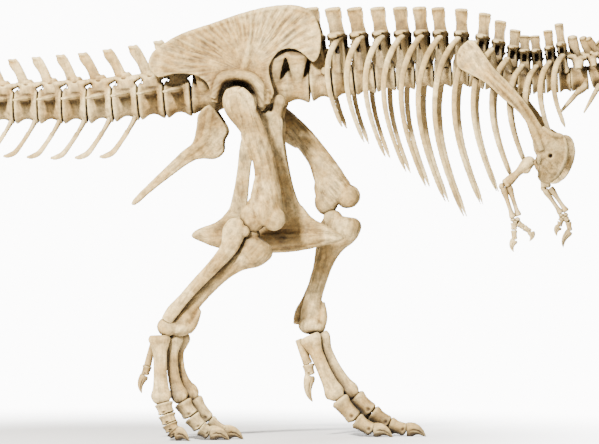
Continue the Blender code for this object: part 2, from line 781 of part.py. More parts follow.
# ---------------------------------------------------------------- shoulders and arms
SCAPULA = [
    (1.84, 3.37), (1.90, 3.45), (1.97, 3.48), (2.04, 3.40), (2.17, 3.22), (2.32, 3.07),
    (2.48, 2.87), (2.57, 2.73), (2.63, 2.665), (2.72, 2.675), (2.78, 2.63), (2.80, 2.53),
    (2.77, 2.41), (2.69, 2.27), (2.60, 2.235), (2.53, 2.29), (2.555, 2.42), (2.50, 2.52),
    (2.475, 2.68), (2.38, 2.84), (2.24, 2.96), (2.09, 3.10), (1.94, 3.185), (1.845, 3.245),
]
SCAPULA_THICK = 0.042


def shoulder_out(x, z):
    """How far out the shoulder blade lies: it follows the ribs and turns in at the front."""
    down = ((x - 1.86) * 0.62 + (3.40 - z) * 0.78) / 1.39
    return 0.452 + 0.46 * down - 0.645 * down**2


def arm(side, places, colour):
    name = SIDE_NAMES[side]
    shift = places["shoulder_shift"]
    shape = bmesh.new()
    plate(
        shape,
        [(x + shift, z) for x, z in SCAPULA],
        lambda x, z: side * shoulder_out(x - shift, z),
        lambda x, z: SCAPULA_THICK,
        points_per_step=2,
    )
    bone(f"scapula_{name}", shape, colour)

    shoulder, elbow, wrist = (Vector(places[k]) for k in ("shoulder", "elbow", "wrist"))
    shape = bmesh.new()
    tube(
        shape,
        [shoulder.lerp(elbow, share) for share in (0.0, 0.22, 0.55, 0.85, 1.0)],
        [(0.055, 0.050), (0.060, 0.042), (0.034, 0.034), (0.045, 0.045), (0.038, 0.042)],
    )
    bone(f"humerus_{name}", shape, colour, 64, grain=0.006)
    for bone_name, apart in (("ulna", -0.024), ("radius", 0.024)):
        shape = bmesh.new()
        offset = Vector((apart, side * -0.2 * apart, apart * 0.35))
        top = elbow + (wrist - elbow).normalized() * 0.050 + offset
        end = wrist - (wrist - elbow).normalized() * 0.012 + offset
        tube(
            shape,
            [top, top.lerp(end, 0.3), top.lerp(end, 0.7), end],
            [(0.019, 0.021), (0.016, 0.018), (0.015, 0.017), (0.018, 0.020)],
            sides=8,
        )
        bone(f"{bone_name}_{name}", shape, colour, 40, grain=0.005)

    shape = bmesh.new()
    ball(shape, wrist + Vector((0, 0, -0.042)), (0.042, 0.028, 0.024))
    for finger in places["fingers"]:
        joints = [wrist + Vector((0, 0, -0.045))] + [Vector(p) for p in finger]
        tube(
            shape,
            joints,
            [(0.020, 0.018), (0.019, 0.018), (0.020, 0.018), (0.016, 0.013), (0.007, 0.007)],
            sides=8,
        )
    bone(f"hand_{name}", shape, colour, 104, grain=0.005)


RIGHT_ARM = {
    "shoulder_shift": 0.0,
    "shoulder": (2.475, -0.435, 2.432),
    "elbow": (2.255, -0.470, 2.225),
    "wrist": (2.345, -0.450, 1.945),
    "fingers": [
        [(2.330, -0.450, 1.83), (2.335, -0.450, 1.745), (2.345, -0.450, 1.70), (2.300, -0.450, 1.650)],
        [(2.415, -0.430, 1.855), (2.475, -0.425, 1.815), (2.508, -0.423, 1.775), (2.490, -0.421, 1.738)],
    ],
}
LEFT_ARM = {
    "shoulder_shift": 0.055,
    "shoulder": (2.540, 0.440, 2.440),
    "elbow": (2.600, 0.450, 2.215),
    "wrist": (2.755, 0.430, 1.985),
    "fingers": [
        [(2.725, 0.430, 1.905), (2.715, 0.430, 1.86), (2.708, 0.430, 1.83), (2.670, 0.430, 1.79)],
        [(2.795, 0.410, 1.90), (2.810, 0.405, 1.82), (2.800, 0.403, 1.755), (2.725, 0.401, 1.690)],
    ],
}


# ---------------------------------------------------------------- the head
# Skull places: (forward of the hind end, height above the tooth row).
SKULL_TOP = [
    (0.00, 0.40), (0.10, 0.565), (0.24, 0.555), (0.38, 0.525), (0.47, 0.500), (0.56, 0.515),
    (0.68, 0.470), (0.86, 0.435), (1.04, 0.400), (1.20, 0.340), (1.32, 0.245), (1.40, 0.110),
]
SKULL_LOW = [
    (0.00, -0.02), (0.10, -0.055), (0.24, -0.030), (0.38, -0.045), (0.47, -0.050), (0.56, -0.005),
    (0.68, -0.010), (0.86, -0.045), (1.04, -0.060), (1.20, -0.030), (1.32, 0.005), (1.40, 0.010),
]
SKULL_HALF_WIDTH = [0.375, 0.41, 0.40, 0.365, 0.325, 0.270, 0.225, 0.200, 0.185, 0.165, 0.130, 0.070]
SKULL_WALL = 0.028
SKULL_ROOF_SHARE = [0.55, 0.55, 0.60, 0.66, 0.72, 0.72, 0.55, 0.50, 0.50, 0.55, 0.62, 0.70]

# Openings seen from the side: lists of round holes (place, half length, half height, turn).
NOSTRIL = [((1.262, 0.185), 0.072, 0.036, -36)]
SNOUT_HOLE = [((0.985, 0.125), 0.045, 0.040, 0)]
SNOUT_WINDOW = [((0.80, 0.170), 0.125, 0.088, 6), ((0.715, 0.245), 0.062, 0.085, 0)]
EYE_SOCKET = [((0.480, 0.355), 0.078, 0.072, 0), ((0.510, 0.220), 0.042, 0.110, -8)]
CHEEK_WINDOW = [
    ((0.255, 0.370), 0.082, 0.078, 10),
    ((0.285, 0.265), 0.040, 0.070, 0),
    ((0.240, 0.145), 0.078, 0.088, 0),
]


def skull_place(x, y, z, turn=0.0):
    """From skull places to the room, with the jaw's own turn about its hinge."""
    if turn:
        dx, dz = x - 0.06, z + 0.03
        x = 0.06 + dx * math.cos(turn) + dz * math.sin(turn)
        z = -0.03 - dx * math.sin(turn) + dz * math.cos(turn)
    c, s = math.cos(SKULL_PITCH), math.sin(SKULL_PITCH)
    return Vector((SKULL_BACK.x + x * c - z * s, y, SKULL_BACK.z + x * s + z * c))


def skull_profile(places, x):
    """The height of a profile at x, by straight steps between its places."""
    for (x0, z0), (x1, z1) in zip(places, places[1:]):
        if x <= x1:
            return mix(z0, z1, (x - x0) / (x1 - x0))
    return places[-1][1]


def loft(shape, rings):
    """A closed solid over rings with the same number of points."""
    rows = [[shape.verts.new(p) for p in ring] for ring in rings]
    count = len(rows[0])
    for low, high in zip(rows, rows[1:]):
        for k in range(count):
            n = (k + 1) % count
            shape.faces.new((low[k], low[n], high[n], high[k]))
    shape.faces.new(list(reversed(rows[0])))
    shape.faces.new(rows[-1])


def skull_windows():
    """Oval rods, joined into one, that run through the skull from side to side."""
    shape = bmesh.new()
    for window in (NOSTRIL, SNOUT_HOLE, SNOUT_WINDOW, EYE_SOCKET, CHEEK_WINDOW):
        for (x, z), half_length, half_height, degrees in window:
            turn = math.radians(degrees)
            rings = []
            for y in (-0.6, 0.6):
                ring = []
                for k in range(12):
                    a = math.tau * k / 12
                    dx, dz = half_length * math.cos(a), half_height * math.sin(a)
                    dx, dz = (
                        dx * math.cos(turn) - dz * math.sin(turn),
                        dx * math.sin(turn) + dz * math.cos(turn),
                    )
                    ring.append(skull_place(x + dx, y, z + dz))
                rings.append(ring)
            loft(shape, rings)
    windows = hidden_or_shown("skull_windows", shape, hidden=True)
    joined = windows.modifiers.new("joined", "REMESH")
    joined.mode = "VOXEL"
    joined.voxel_size = 0.012
    return windows


def skull_rings(wall, first, last):
    """Cross-sections of the skull from hind end to snout, drawn in by a wall's thickness."""
    rings = []
    count = 15
    tops = [Vector(p) for p in SKULL_TOP]
    lows = [Vector(p) for p in SKULL_LOW]
    for i in range(count):
        at = mix(first, last, i / (count - 1))
        x, top = spline(tops, at)
        low = spline(lows, at)[1] + wall
        half = spline([Vector((w, 0)) for w in SKULL_HALF_WIDTH], at)[0] - wall
        roof = spline([Vector((w, 0)) for w in SKULL_ROOF_SHARE], at)[0]
        tall = top - wall - low
        corners = [
            (0.50, 0.0), (0.95, 0.03), (1.00, 0.25), (mix(1, roof, 0.35), 0.58), (roof, 0.88),
            (roof * 0.6, 0.98), (0.0, 1.0),
        ]
        ring = []
        for side in (1, -1):
            for w, h in corners if side == 1 else reversed(corners[:-1]):
                hollow = 0.11 * (1 - w * w) * max(0.0, 1 - 4 * at) * (1 - h)
                notch = 0.055 * math.sin(math.pi * min(1.0, h * 1.1)) * max(0.0, 1 - 5 * at)
                ring.append(skull_place(x + hollow + notch, side * half * w, low + tall * h))
        rings.append(ring)
    return rings


def skull():
    """The skull: a narrow high snout that widens to a broad hind part, hollow, with windows."""
    shape = bmesh.new()
    loft(shape, skull_rings(0.0, 0.0, 1.0))
    for side in (RIGHT, LEFT):
        tube(
            shape,
            [
                skull_place(0.48, side * 0.235, 0.460),
                skull_place(0.57, side * 0.195, 0.500),
                skull_place(0.68, side * 0.130, 0.455),
            ],
            [(0.030, 0.035), (0.036, 0.045), (0.025, 0.03)],
            sides=8,
        )
        for k in range(4):
            x = 1.352 - 0.036 * k
            tooth(shape, x, side, 0.070, 0.015, mix(0.050, 0.120, k / 3))
        for k in range(12):
            size = math.sin(math.pi * (0.22 + 0.78 * (k + 0.3) / 12.6)) ** 0.7
            tooth(shape, 1.185 - 0.053 * k, side, 0.045 + 0.105 * size, 0.010 + 0.014 * size)
    ball(shape, skull_place(0.07, 0, 0.350), (0.075, 0.060, 0.060))
    cavity = bmesh.new()
    loft(cavity, skull_rings(SKULL_WALL, 0.10, 0.93))
    hollow = hidden_or_shown("skull_hollow", cavity, hidden=True)
    bone("skull", shape, "head", 1120, grain=0.009, carve=[hollow, skull_windows()])


def tooth(shape, x, side, length, half, y=None, turn=0.0, down=True):
    """A curved tooth from its socket to its point."""
    if y is None:
        at = min(1.0, (x - 0.47) / 0.93)
        y = spline([Vector((w, 0)) for w in SKULL_HALF_WIDTH[4:]], at)[0] * 0.97 - 0.030
    way = -1 if down else 1
    jaw_top = [(px, top) for px, top, _, _ in JAW_STATIONS]
    root = skull_profile(SKULL_LOW if down else jaw_top, x) - way * 0.030
    tube(
        shape,
        [
            skull_place(x, side * y, root, turn),
            skull_place(x, side * y, root + way * (0.030 + length * 0.55), turn),
            skull_place(x - 0.25 * length, side * (y - 0.005), root + way * (0.030 + length), turn),
        ],
        [(half, half * 0.75), (half * 0.85, half * 0.7), (0.006, 0.006)],
        sides=6,
        rings_per_point=1,
    )


# The shut lower jaw: (forward of the skull's hind end, upper edge, lower edge, half apart).
JAW_STATIONS = [
    (-0.02, -0.10, -0.16, 0.33), (0.06, -0.055, -0.205, 0.335), (0.20, -0.020, -0.270, 0.325),
    (0.38, 0.000, -0.305, 0.300), (0.52, -0.050, -0.290, 0.255), (0.80, -0.085, -0.245, 0.180),
    (1.10, -0.090, -0.240, 0.140), (1.30, -0.070, -0.225, 0.085), (1.365, -0.075, -0.150, 0.045),
]
JAW_SECTION = [(-0.7, 0), (0.7, 0), (1, 0.3), (1, 0.7), (0.6, 1), (-0.6, 1), (-1, 0.7), (-1, 0.3)]


def jaw():
    """The lower jaw: two deep rami that meet at the chin, opened a little at the hinge."""
    shape = bmesh.new()
    for side in (RIGHT, LEFT):
        rings = []
        for x, top, low, out in JAW_STATIONS:
            half = 0.025 if x < 1.2 else 0.034
            ring = []
            for w, h in JAW_SECTION:
                ring.append(skull_place(x, side * (out + half * w), mix(low, top, h), JAW_OPEN))
            rings.append(ring)
        loft(shape, rings)
        for k in range(12):
            x = 1.325 - 0.056 * k
            size = math.sin(math.pi * (0.22 + 0.74 * k / 12)) ** 0.6
            y = skull_profile([(px, out) for px, _, _, out in JAW_STATIONS], x)
            tooth(shape, x, side, 0.035 + 0.058 * size, 0.008 + 0.013 * size, y, JAW_OPEN, down=False)
    tube(
        shape,
        [skull_place(1.345, -0.05, -0.12, JAW_OPEN), skull_place(1.345, 0.05, -0.12, JAW_OPEN)],
        [(0.03, 0.04), (0.03, 0.04)],
        across=Vector((0, 0, 1)),
    )
    bone("jaw", shape, "head", 500, grain=0.008)


# ---------------------------------------------------------------- the whole skeleton
def stand_over_origin():
    """Moves every piece so that the origin is on the floor under the middle of the box."""
    bpy.context.view_layer.update()
    graph = bpy.context.evaluated_depsgraph_get()
    places = []
    for obj in bpy.context.scene.objects:
        if not obj.hide_render:
            places += [v.co for v in obj.evaluated_get(graph).data.vertices]
    middle = Vector(
        (
            (min(p.x for p in places) + max(p.x for p in places)) / 2,
            (min(p.y for p in places) + max(p.y for p in places)) / 2,
            0.0,
        )
    )
    for obj in bpy.context.scene.objects:
        obj.location = -middle
    print("the hip sockets' zero is at", [round(-m, 4) for m in middle])


def main():
    for obj in list(bpy.data.objects):
        bpy.data.objects.remove(obj)
    far_away = 9.0
    floor = cutter("floor_cut", (-far_away, -2, -1), (far_away, 2, 0))
    midline = cutter("midline_cut", (-far_away, -CUT_GAP / 2, 0.5), (far_away, 2, 5))
    mirrored("trunk_left", trunk_half(RIGHT, midline), "column")
    tail()
    sacrum()
    neck()
    hip_girdle()
    leg(RIGHT, RIGHT_LEG, "near", floor)
    leg(LEFT, LEFT_LEG, "far", floor)
    arm(RIGHT, RIGHT_ARM, "near")
    arm(LEFT, LEFT_ARM, "far")
    skull()
    jaw()
    stand_over_origin()


main()
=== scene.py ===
# %% [markdown]
# # The mounted skeleton of a large two-legged meat-eating dinosaur
#
# This lesson dresses a plain model of a skeleton in detailed bones.  The plain model, the
# frame, holds one solid for each group of bones.  Every bone here is modelled anew in the
# place of those solids: each vertebra, rib, toe bone and tooth is a piece of its own, as
# in a museum's mount.

# %% Load the frame
import math

import bpy
import numpy as np
from mathutils import Matrix, Vector


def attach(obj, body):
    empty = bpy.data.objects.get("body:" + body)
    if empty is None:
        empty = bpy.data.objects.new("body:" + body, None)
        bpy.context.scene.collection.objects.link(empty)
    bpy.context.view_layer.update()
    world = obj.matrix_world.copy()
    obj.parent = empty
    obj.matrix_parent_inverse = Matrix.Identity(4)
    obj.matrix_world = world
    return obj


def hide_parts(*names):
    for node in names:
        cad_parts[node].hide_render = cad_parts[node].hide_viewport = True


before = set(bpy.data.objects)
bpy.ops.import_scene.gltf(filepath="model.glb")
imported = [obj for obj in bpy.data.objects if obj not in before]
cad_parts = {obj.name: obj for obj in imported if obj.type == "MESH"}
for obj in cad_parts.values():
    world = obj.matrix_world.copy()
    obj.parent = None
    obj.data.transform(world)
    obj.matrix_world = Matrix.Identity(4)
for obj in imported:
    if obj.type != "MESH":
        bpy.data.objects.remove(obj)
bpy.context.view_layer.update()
print("the frame holds", len(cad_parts), "nodes")

# %% [markdown]
# ## Where things are
#
# A skeleton is drawn from its hips.  So every place below is measured from the floor under
# the hip sockets, in metres: x towards the snout, y towards the animal's left and z up.
# The frame's own zero is under the middle of the whole animal, so each finished bone is
# shifted by the distance between the two.

# %% Zero and sides
HIP_ZERO = Vector((0.935, -0.0009, 0.0))
RIGHT, LEFT = -1, 1
SIDE_NAMES = {RIGHT: "right", LEFT: "left"}
ALONG_X, UP = Vector((1, 0, 0)), Vector((0, 0, 1))


def mix(a, b, share):
    return a + (b - a) * share


# %% [markdown]
# ## The finish of fossil bone
#
# Fossil bone is stone: matt and warm tan.  Shade is painted into its colour: darker in its
# recesses, near other bone and on sides that other bones crowd.  Its edges are paler, partly
# with wear and partly with a painted highlight.  Its fibres leave fine streaks that run along
# each bone, or fan out over a flat one.  A painted texture could show that, but a procedural
# one fits a bone of any shape.  The streaks read an attribute called grain that each bone
# carries: its first number changes slowly along the bone, so noise drawn on it comes out
# stretched.

# %% Colours of the bone
PALE, TAN, BROWN = (0.8, 0.575, 0.255), (0.5, 0.31, 0.098), (0.145, 0.074, 0.018)
# The colour of the shade painted into recesses and where other bone comes close.
PAINTED_SHADE = (0.034, 0.015, 0.004)
DEEP, SHADED = 0.13, 0.8  # reach of the painted shade: into recesses by other bone, and over sides that bones crowd
OPEN_SAMPLES = 5


def new_finish(name):
    """A new material, with its nodes, its links and its shader."""
    material = bpy.data.materials.new(name)
    material.use_nodes = True
    tree = material.node_tree
    return material, tree.nodes, tree.links, tree.nodes["Principled BSDF"]


def grain_of(nodes):
    """The grain that each bone carries."""
    node = nodes.new("ShaderNodeAttribute")
    node.attribute_name = "grain"
    return node.outputs["Vector"]


def openness(nodes, reach):
    """How open a place is, from 0 to 1, as far as reach."""
    node = nodes.new("ShaderNodeAmbientOcclusion")
    node.samples = OPEN_SAMPLES
    node.inputs["Distance"].default_value = reach
    return node.outputs["AO"]


def bump_on(nodes, links, height, strength, distance, under=None):
    """Fine relief; under is the relief that it lies on."""
    node = nodes.new("ShaderNodeBump")
    node.inputs["Strength"].default_value = strength
    node.inputs["Distance"].default_value = distance
    links.new(height, node.inputs["Height"])
    if under:
        links.new(under, node.inputs["Normal"])
    return node.outputs["Normal"]


def ramp(nodes, links, source, stops):
    """A colour ramp fed by a number: stops are (place, colour)."""
    node = nodes.new("ShaderNodeValToRGB")
    while len(node.color_ramp.elements) < len(stops):
        node.color_ramp.elements.new(1.0)
    for element, (place, colour) in zip(node.color_ramp.elements, stops):
        element.position = place
        element.color = (*colour, 1.0)
    links.new(source, node.inputs["Fac"])
    return node.outputs["Color"]


def noise(nodes, links, vector, scale, detail, rough=0.55):
    node = nodes.new("ShaderNodeTexNoise")
    node.inputs["Scale"].default_value = scale
    node.inputs["Detail"].default_value = detail
    node.inputs["Roughness"].default_value = rough
    links.new(vector, node.inputs["Vector"])
    return node.outputs["Fac"]


def blend_colours(nodes, links, kind, share, first, second):
    """Mixes two colours; share and second may each be a number or colour, or an output."""
    node = nodes.new("ShaderNodeMix")
    node.data_type = "RGBA"
    node.blend_type = kind
    node.clamp_factor = True
    for value, socket in ((share, node.inputs[0]), (first, node.inputs[6]), (second, node.inputs[7])):
        if isinstance(value, (float, int)):
            socket.default_value = value
        elif isinstance(value, tuple):
            socket.default_value = (*value, 1.0)
        else:
            links.new(value, socket)
    return node.outputs[2]


def grey(value):
    return (value, value, value)


def bone_finish(name, shade=1.0, streaks=0.45, relief=0.004):
    """Fossil bone: mottled, streaked, with painted shade in recesses and wear and a painted highlight at
    edges.
    """
    material, nodes, links, shader = new_finish(name)
    place = nodes.new("ShaderNodeTexCoord").outputs["Object"]
    fibre = grain_of(nodes)

    def tone(colour):
        return tuple(c * shade for c in colour)

    # Multiplies the colour by a pattern, for real stains and for painted shade.
    def stain_and_shade(colour, share, pattern, stops):
        return blend_colours(nodes, links, "MULTIPLY", share, colour, ramp(nodes, links, pattern, stops))

    # Paints shade: mixes the colour towards the shade colour where the pattern says.
    def paint_shade(colour, pattern, stops):
        share = ramp(nodes, links, pattern, stops)
        return blend_colours(nodes, links, "MIX", share, colour, tone(PAINTED_SHADE))

    mottle = noise(nodes, links, place, 2.6, 7, 0.62)
    colour = ramp(nodes, links, mottle, [(0.3, tone(BROWN)), (0.45, tone(TAN)), (0.6, tone(PALE))])
    blotch = noise(nodes, links, place, 17, 5, 0.6)
    blotch = ramp(nodes, links, blotch, [(0.36, grey(0.46)), (0.6, grey(1.2))])
    colour = blend_colours(nodes, links, "MULTIPLY", 0.75, colour, blotch)
    speckle = noise(nodes, links, place, 62, 4, 0.7)
    colour = stain_and_shade(colour, 0.55, speckle, [(0.38, grey(0.6)), (0.56, grey(1.1))])
    streak = noise(nodes, links, fibre, 34, 6, 0.62)
    lines = ramp(nodes, links, streak, [(0.38, grey(0.36)), (0.52, grey(1.0)), (0.66, grey(1.22))])
    patches = noise(nodes, links, place, 3.4, 3)
    patches = ramp(nodes, links, patches, [(0.38, grey(0.15)), (0.62, grey(1.0))])
    patches = blend_colours(nodes, links, "MULTIPLY", 1.0, patches, grey(min(1.0, streaks * 1.8)))
    colour = blend_colours(nodes, links, "MULTIPLY", patches, colour, lines)
    cracks = nodes.new("ShaderNodeTexVoronoi")
    cracks.feature = "DISTANCE_TO_EDGE"
    cracks.inputs["Scale"].default_value = 13
    links.new(fibre, cracks.inputs["Vector"])
    crack = ramp(nodes, links, cracks.outputs["Distance"], [(0.0, grey(0.55)), (0.035, grey(1.0))])
    colour = blend_colours(nodes, links, "MULTIPLY", 0.5, colour, crack)
    # Pointiness makes convex edges paler, partly as wear and partly as a painted highlight, and paints shade
    # into concave places.
    edge = nodes.new("ShaderNodeNewGeometry").outputs["Pointiness"]
    wear_and_highlight = ramp(nodes, links, edge, [(0.495, grey(0.0)), (0.56, grey(1.0))])
    colour = blend_colours(nodes, links, "MIX", wear_and_highlight, colour, blend_colours(
        nodes, links, "SCREEN", 0.62, colour, tone(PALE)))
    colour = paint_shade(colour, edge, [(0.42, grey(1.0)), (0.495, grey(0.0))])
    # Painted shade where other bone comes close, from ambient occlusion.
    colour = paint_shade(colour, openness(nodes, DEEP), [(0.35, grey(0.97)), (0.93, grey(0.0))])
    # Broad painted shade over the sides that other bones crowd round.
    shades = [(0.18, grey(0.17)), (0.5, grey(0.57)), (0.88, grey(1.0))]
    colour = stain_and_shade(colour, 0.9, openness(nodes, SHADED), shades)
    links.new(colour, shader.inputs["Base Color"])

    gloss = nodes.new("ShaderNodeMapRange")
    gloss.inputs["To Min"].default_value = 0.5
    gloss.inputs["To Max"].default_value = 0.8
    links.new(blotch, gloss.inputs["Value"])
    links.new(gloss.outputs["Result"], shader.inputs["Roughness"])
    shader.inputs["Specular IOR Level"].default_value = 0.35

    pits = noise(nodes, links, place, 95, 5, 0.7)
    bumps = None
    for height, strength, deep in ((streak, 0.65, 1.0), (crack, 0.35, 0.6), (pits, 0.35, 0.5)):
        bumps = bump_on(nodes, links, height, strength, relief * deep, bumps)
    links.new(bumps, shader.inputs["Normal"])
    return material


FINISHES = {
    "head_bone": bone_finish("head bone", 1.0, 0.4),
    "column_bone": bone_finish("column bone", 1.03, 0.4),
    "hip_bone": bone_finish("hip bone", 0.95, 0.62, 0.006),
    "limb_bone": bone_finish("limb bone", 1.0, 0.55, 0.005),
    "toe_bone": bone_finish("toe bone", 0.95, 0.45, 0.003),
}
print(len(FINISHES), "finishes of bone")

# %% [markdown]
# ## Teeth
#
# A fossil tooth keeps its enamel: smoother and glossier than bone, dark brown at the root
# and honey-coloured to the tip.  Its colour follows the tooth's own height, which the
# tooth's grain holds.

# %% The enamel
ENAMEL = [
    (0.0, (0.11, 0.055, 0.018)), (0.22, (0.25, 0.135, 0.045)),
    (0.6, (0.42, 0.26, 0.095)), (1.0, (0.5, 0.345, 0.15)),
]


def enamel_finish():
    material, nodes, links, shader = new_finish("tooth enamel")
    fibre = grain_of(nodes)
    height = nodes.new("ShaderNodeSeparateXYZ")
    links.new(fibre, height.inputs["Vector"])
    colour = ramp(nodes, links, height.outputs["Z"], ENAMEL)
    bands = noise(nodes, links, fibre, 7, 5)
    bands = ramp(nodes, links, bands, [(0.35, grey(0.7)), (0.65, grey(1.1))])
    colour = blend_colours(nodes, links, "MULTIPLY", 0.6, colour, bands)
    links.new(colour, shader.inputs["Base Color"])
    shader.inputs["Roughness"].default_value = 0.34
    links.new(bump_on(nodes, links, bands, 0.25, 0.001), shader.inputs["Normal"])
    return material


FINISHES["tooth"] = enamel_finish()
print("and one of enamel")

# %% [markdown]
# ## Four ways to start a bone
#
# Bones are made of a few simple things that run into each other: shafts, knobs and plates.
# A **rod** is a curve with a round bevel, as thick at each of its points as its radius
# says; squash flattens it.  A **knob** is a sphere.  A **plate** is a flat closed curve,
# extruded and bevelled.  A **loft** is a skin over cross-sections, for the skull, whose
# sections change shape too much for an extruded circle.

# %% Rod, knob, plate and loft
def let_go():
    """Nothing stays selected, so the next operator acts on the new primitive alone."""
    bpy.ops.object.select_all(action="DESELECT")


def take_up(*pieces):
    """Selects these pieces alone; the first is the active one."""
    let_go()
    for piece in pieces:
        piece.select_set(True)
    bpy.context.view_layer.objects.active = pieces[0]


def through(values, count):
    """A smooth curve through values, as count evenly spaced ones."""
    values = [Vector(v) for v in values]
    last = len(values) - 1
    made = []
    for i in range(count):
        at = i / (count - 1) * last
        step = min(int(at), last - 1)
        t = at - step
        p0, p1 = values[max(step - 1, 0)], values[step]
        p2, p3 = values[step + 1], values[min(step + 2, last)]
        made.append(
            p1
            + (p2 - p0) * (0.5 * t)
            + (p0 * 2.0 - p1 * 5.0 + p2 * 4.0 - p3) * (0.5 * t * t)
            + (p1 * 3.0 - p0 - p2 * 3.0 + p3) * (0.5 * t * t * t)
        )
    return made


def curve_through(corners, closed):
    """Adds a curve and gives it these corners: (place, radius)."""
    let_go()
    bpy.ops.curve.primitive_nurbs_path_add()
    line = bpy.context.object
    line.data.splines.clear()
    spline = line.data.splines.new("POLY")
    spline.points.add(len(corners) - 1)
    for point, (place, radius) in zip(spline.points, corners):
        point.co = (*place, 1.0)
        point.radius = radius
    spline.use_cyclic_u = closed
    line.data.use_fill_caps = True
    return line


def rod(points, radii, squash=(1, 1, 1), steps=5, rounding=4):
    """A tapering shaft through points."""
    count = steps * (len(points) - 1) + 1
    middles = through([[c / s for c, s in zip(p, squash)] for p in points], count)
    sizes = through([(r, 0) for r in radii], count)
    line = curve_through([(m, max(s[0], 0.0005)) for m, s in zip(middles, sizes)], closed=False)
    line.data.dimensions = "3D"
    line.data.bevel_depth = 1.0
    line.data.bevel_resolution = rounding
    bpy.ops.object.convert(target="MESH")
    line.scale = squash
    return bpy.context.object


def knob(centre, sizes, turn=0.0):
    """An ellipsoid with its half sizes, turned in the side view."""
    let_go()
    bpy.ops.mesh.primitive_uv_sphere_add(
        segments=24, ring_count=14, radius=1.0, location=centre, rotation=(0, turn, 0), scale=sizes
    )
    return bpy.context.object


def plate(outline, thickness, smooth_steps=3, rim=0.4):
    """A plate with a smooth outline in the side view, standing on the middle plane."""
    loop = [Vector((x, z)) for x, z in outline]
    corners = []
    for i in range(len(loop)):
        near = [loop[(i + k) % len(loop)] for k in (-1, 0, 1, 2)]
        corners += through(near, 3 * smooth_steps + 1)[smooth_steps : 2 * smooth_steps]
    sheet = curve_through([((x, z, 0), 1.0) for x, z in corners], closed=True)
    sheet.data.dimensions = "2D"
    sheet.data.fill_mode = "BOTH"
    sheet.data.extrude = thickness * (0.5 - rim / 2)
    sheet.data.bevel_depth = thickness * rim / 2
    sheet.data.bevel_resolution = 2
    sheet.data.offset = -thickness * rim / 2
    sheet.rotation_euler = (math.radians(90), 0, 0)
    bpy.ops.object.convert(target="MESH")
    return bpy.context.object


def loft(name, rings):
    """A closed skin over rings that have the same number of corners."""
    count = len(rings[0])
    corners = [tuple(p) for ring in rings for p in ring]
    faces = [tuple(reversed(range(count)))]
    for r in range(len(rings) - 1):
        for k in range(count):
            n = (k + 1) % count
            faces.append((r * count + k, r * count + n, (r + 1) * count + n, (r + 1) * count + k))
    faces.append(tuple(range((len(rings) - 1) * count, len(rings) * count)))
    mesh = bpy.data.meshes.new(name)
    mesh.from_pydata(corners, [], faces)
    skin = bpy.data.objects.new(name, mesh)
    bpy.context.scene.collection.objects.link(skin)
    take_up(skin)
    bpy.ops.object.mode_set(mode="EDIT")
    bpy.ops.mesh.select_all(action="SELECT")
    bpy.ops.mesh.normals_make_consistent(inside=False)
    bpy.ops.object.mode_set(mode="OBJECT")
    return skin


print("ways to start a bone: rod, knob, plate, loft")

# %% [markdown]
# ## Fusing and weathering
#
# The simple parts of one bone are joined, and a voxel Remesh turns them into a single skin
# without seams, as clay would be blended by thumb.  Smoothing rounds the joints, and a
# Displace modifier with a cloud texture adds the low lumps of an old, worn surface.

# %% Fuse, weather and apply
lumps = bpy.data.textures.new("lumps", "CLOUDS")
lumps.noise_scale = 0.045
lumps.noise_depth = 3


def use(piece, kind, name, **settings):
    """Adds a modifier, sets it and applies it at once."""
    take_up(piece)
    modifier = piece.modifiers.new(name, kind)
    for key, value in settings.items():
        setattr(modifier, key, value)
    bpy.ops.object.modifier_apply(modifier=name)


def thin_out(piece, kept):
    """Keeps this share of a model's faces, because many copies will be made of it."""
    use(piece, "DECIMATE", "thin out", ratio=kept)


def fuse(name, parts, grain, soften=3, lump=0.004):
    """Joins parts into one bone; grain is the size of its finest detail."""
    take_up(*parts)
    if len(parts) > 1:
        bpy.ops.object.join()
    bone = bpy.context.object
    bone.name = bone.data.name = name
    bpy.ops.object.transform_apply(location=True, rotation=True, scale=True)
    use(bone, "REMESH", "one skin", mode="VOXEL", voxel_size=grain)
    if soften:
        use(bone, "SMOOTH", "soften", factor=0.5, iterations=soften)
    if lump:
        use(bone, "DISPLACE", "weather", texture=lumps, strength=lump, mid_level=0.5)
    return bone


def places_of(piece):
    """The places of a piece's corners, one in each row of an array."""
    places = np.empty(len(piece.data.vertices) * 3)
    piece.data.vertices.foreach_get("co", places)
    return places.reshape(-1, 3)


def reshape(piece, rule):
    """Moves every corner of a piece by a rule that takes and gives an array of places."""
    piece.data.vertices.foreach_set("co", rule(places_of(piece)).reshape(-1))
    piece.data.update()
    return piece


def reshape_blade(piece, side, rule):
    """Reshapes a plate modelled with its outer face to -y; the left one is turned over."""
    reshape(piece, rule)
    if side == LEFT:
        piece.data.flip_normals()
    return piece


def copy_of(piece, name, matrix=Matrix.Identity(4)):
    """A copy with its own mesh, placed by a matrix; a mirrored one keeps its faces outwards."""
    made = piece.copy()
    made.data = piece.data.copy()
    made.name = made.data.name = name
    bpy.context.scene.collection.objects.link(made)
    made.data.transform(matrix)
    if matrix.determinant() < 0:
        made.data.flip_normals()
    return made


def without_specks(bone):
    """Takes off the loose specks that the remesh leaves at thin tips."""
    name = bone.name
    take_up(bone)
    bpy.ops.mesh.separate(type="LOOSE")
    pieces = sorted(bpy.context.selected_objects, key=lambda p: len(p.data.vertices))
    throw_away(*pieces[:-1])
    pieces[-1].name = pieces[-1].data.name = name
    return pieces[-1]


def throw_away(*pieces):
    for piece in pieces:
        bpy.data.objects.remove(piece)


print("bones are fused by remeshing and weathered by", lumps.name)

# %% [markdown]
# ## Settling a finished bone
#
# Each bone gets its grain, its finish, smooth shading and its place in the frame.  The
# grain is the bone's own place, turned so that its first number runs along the bone, and
# shrunk there to a sixth.  Each bone starts at another spot of the noise, so copies differ.

# %% Grain and place
GRAIN_STRETCH = 0.16
settled = []


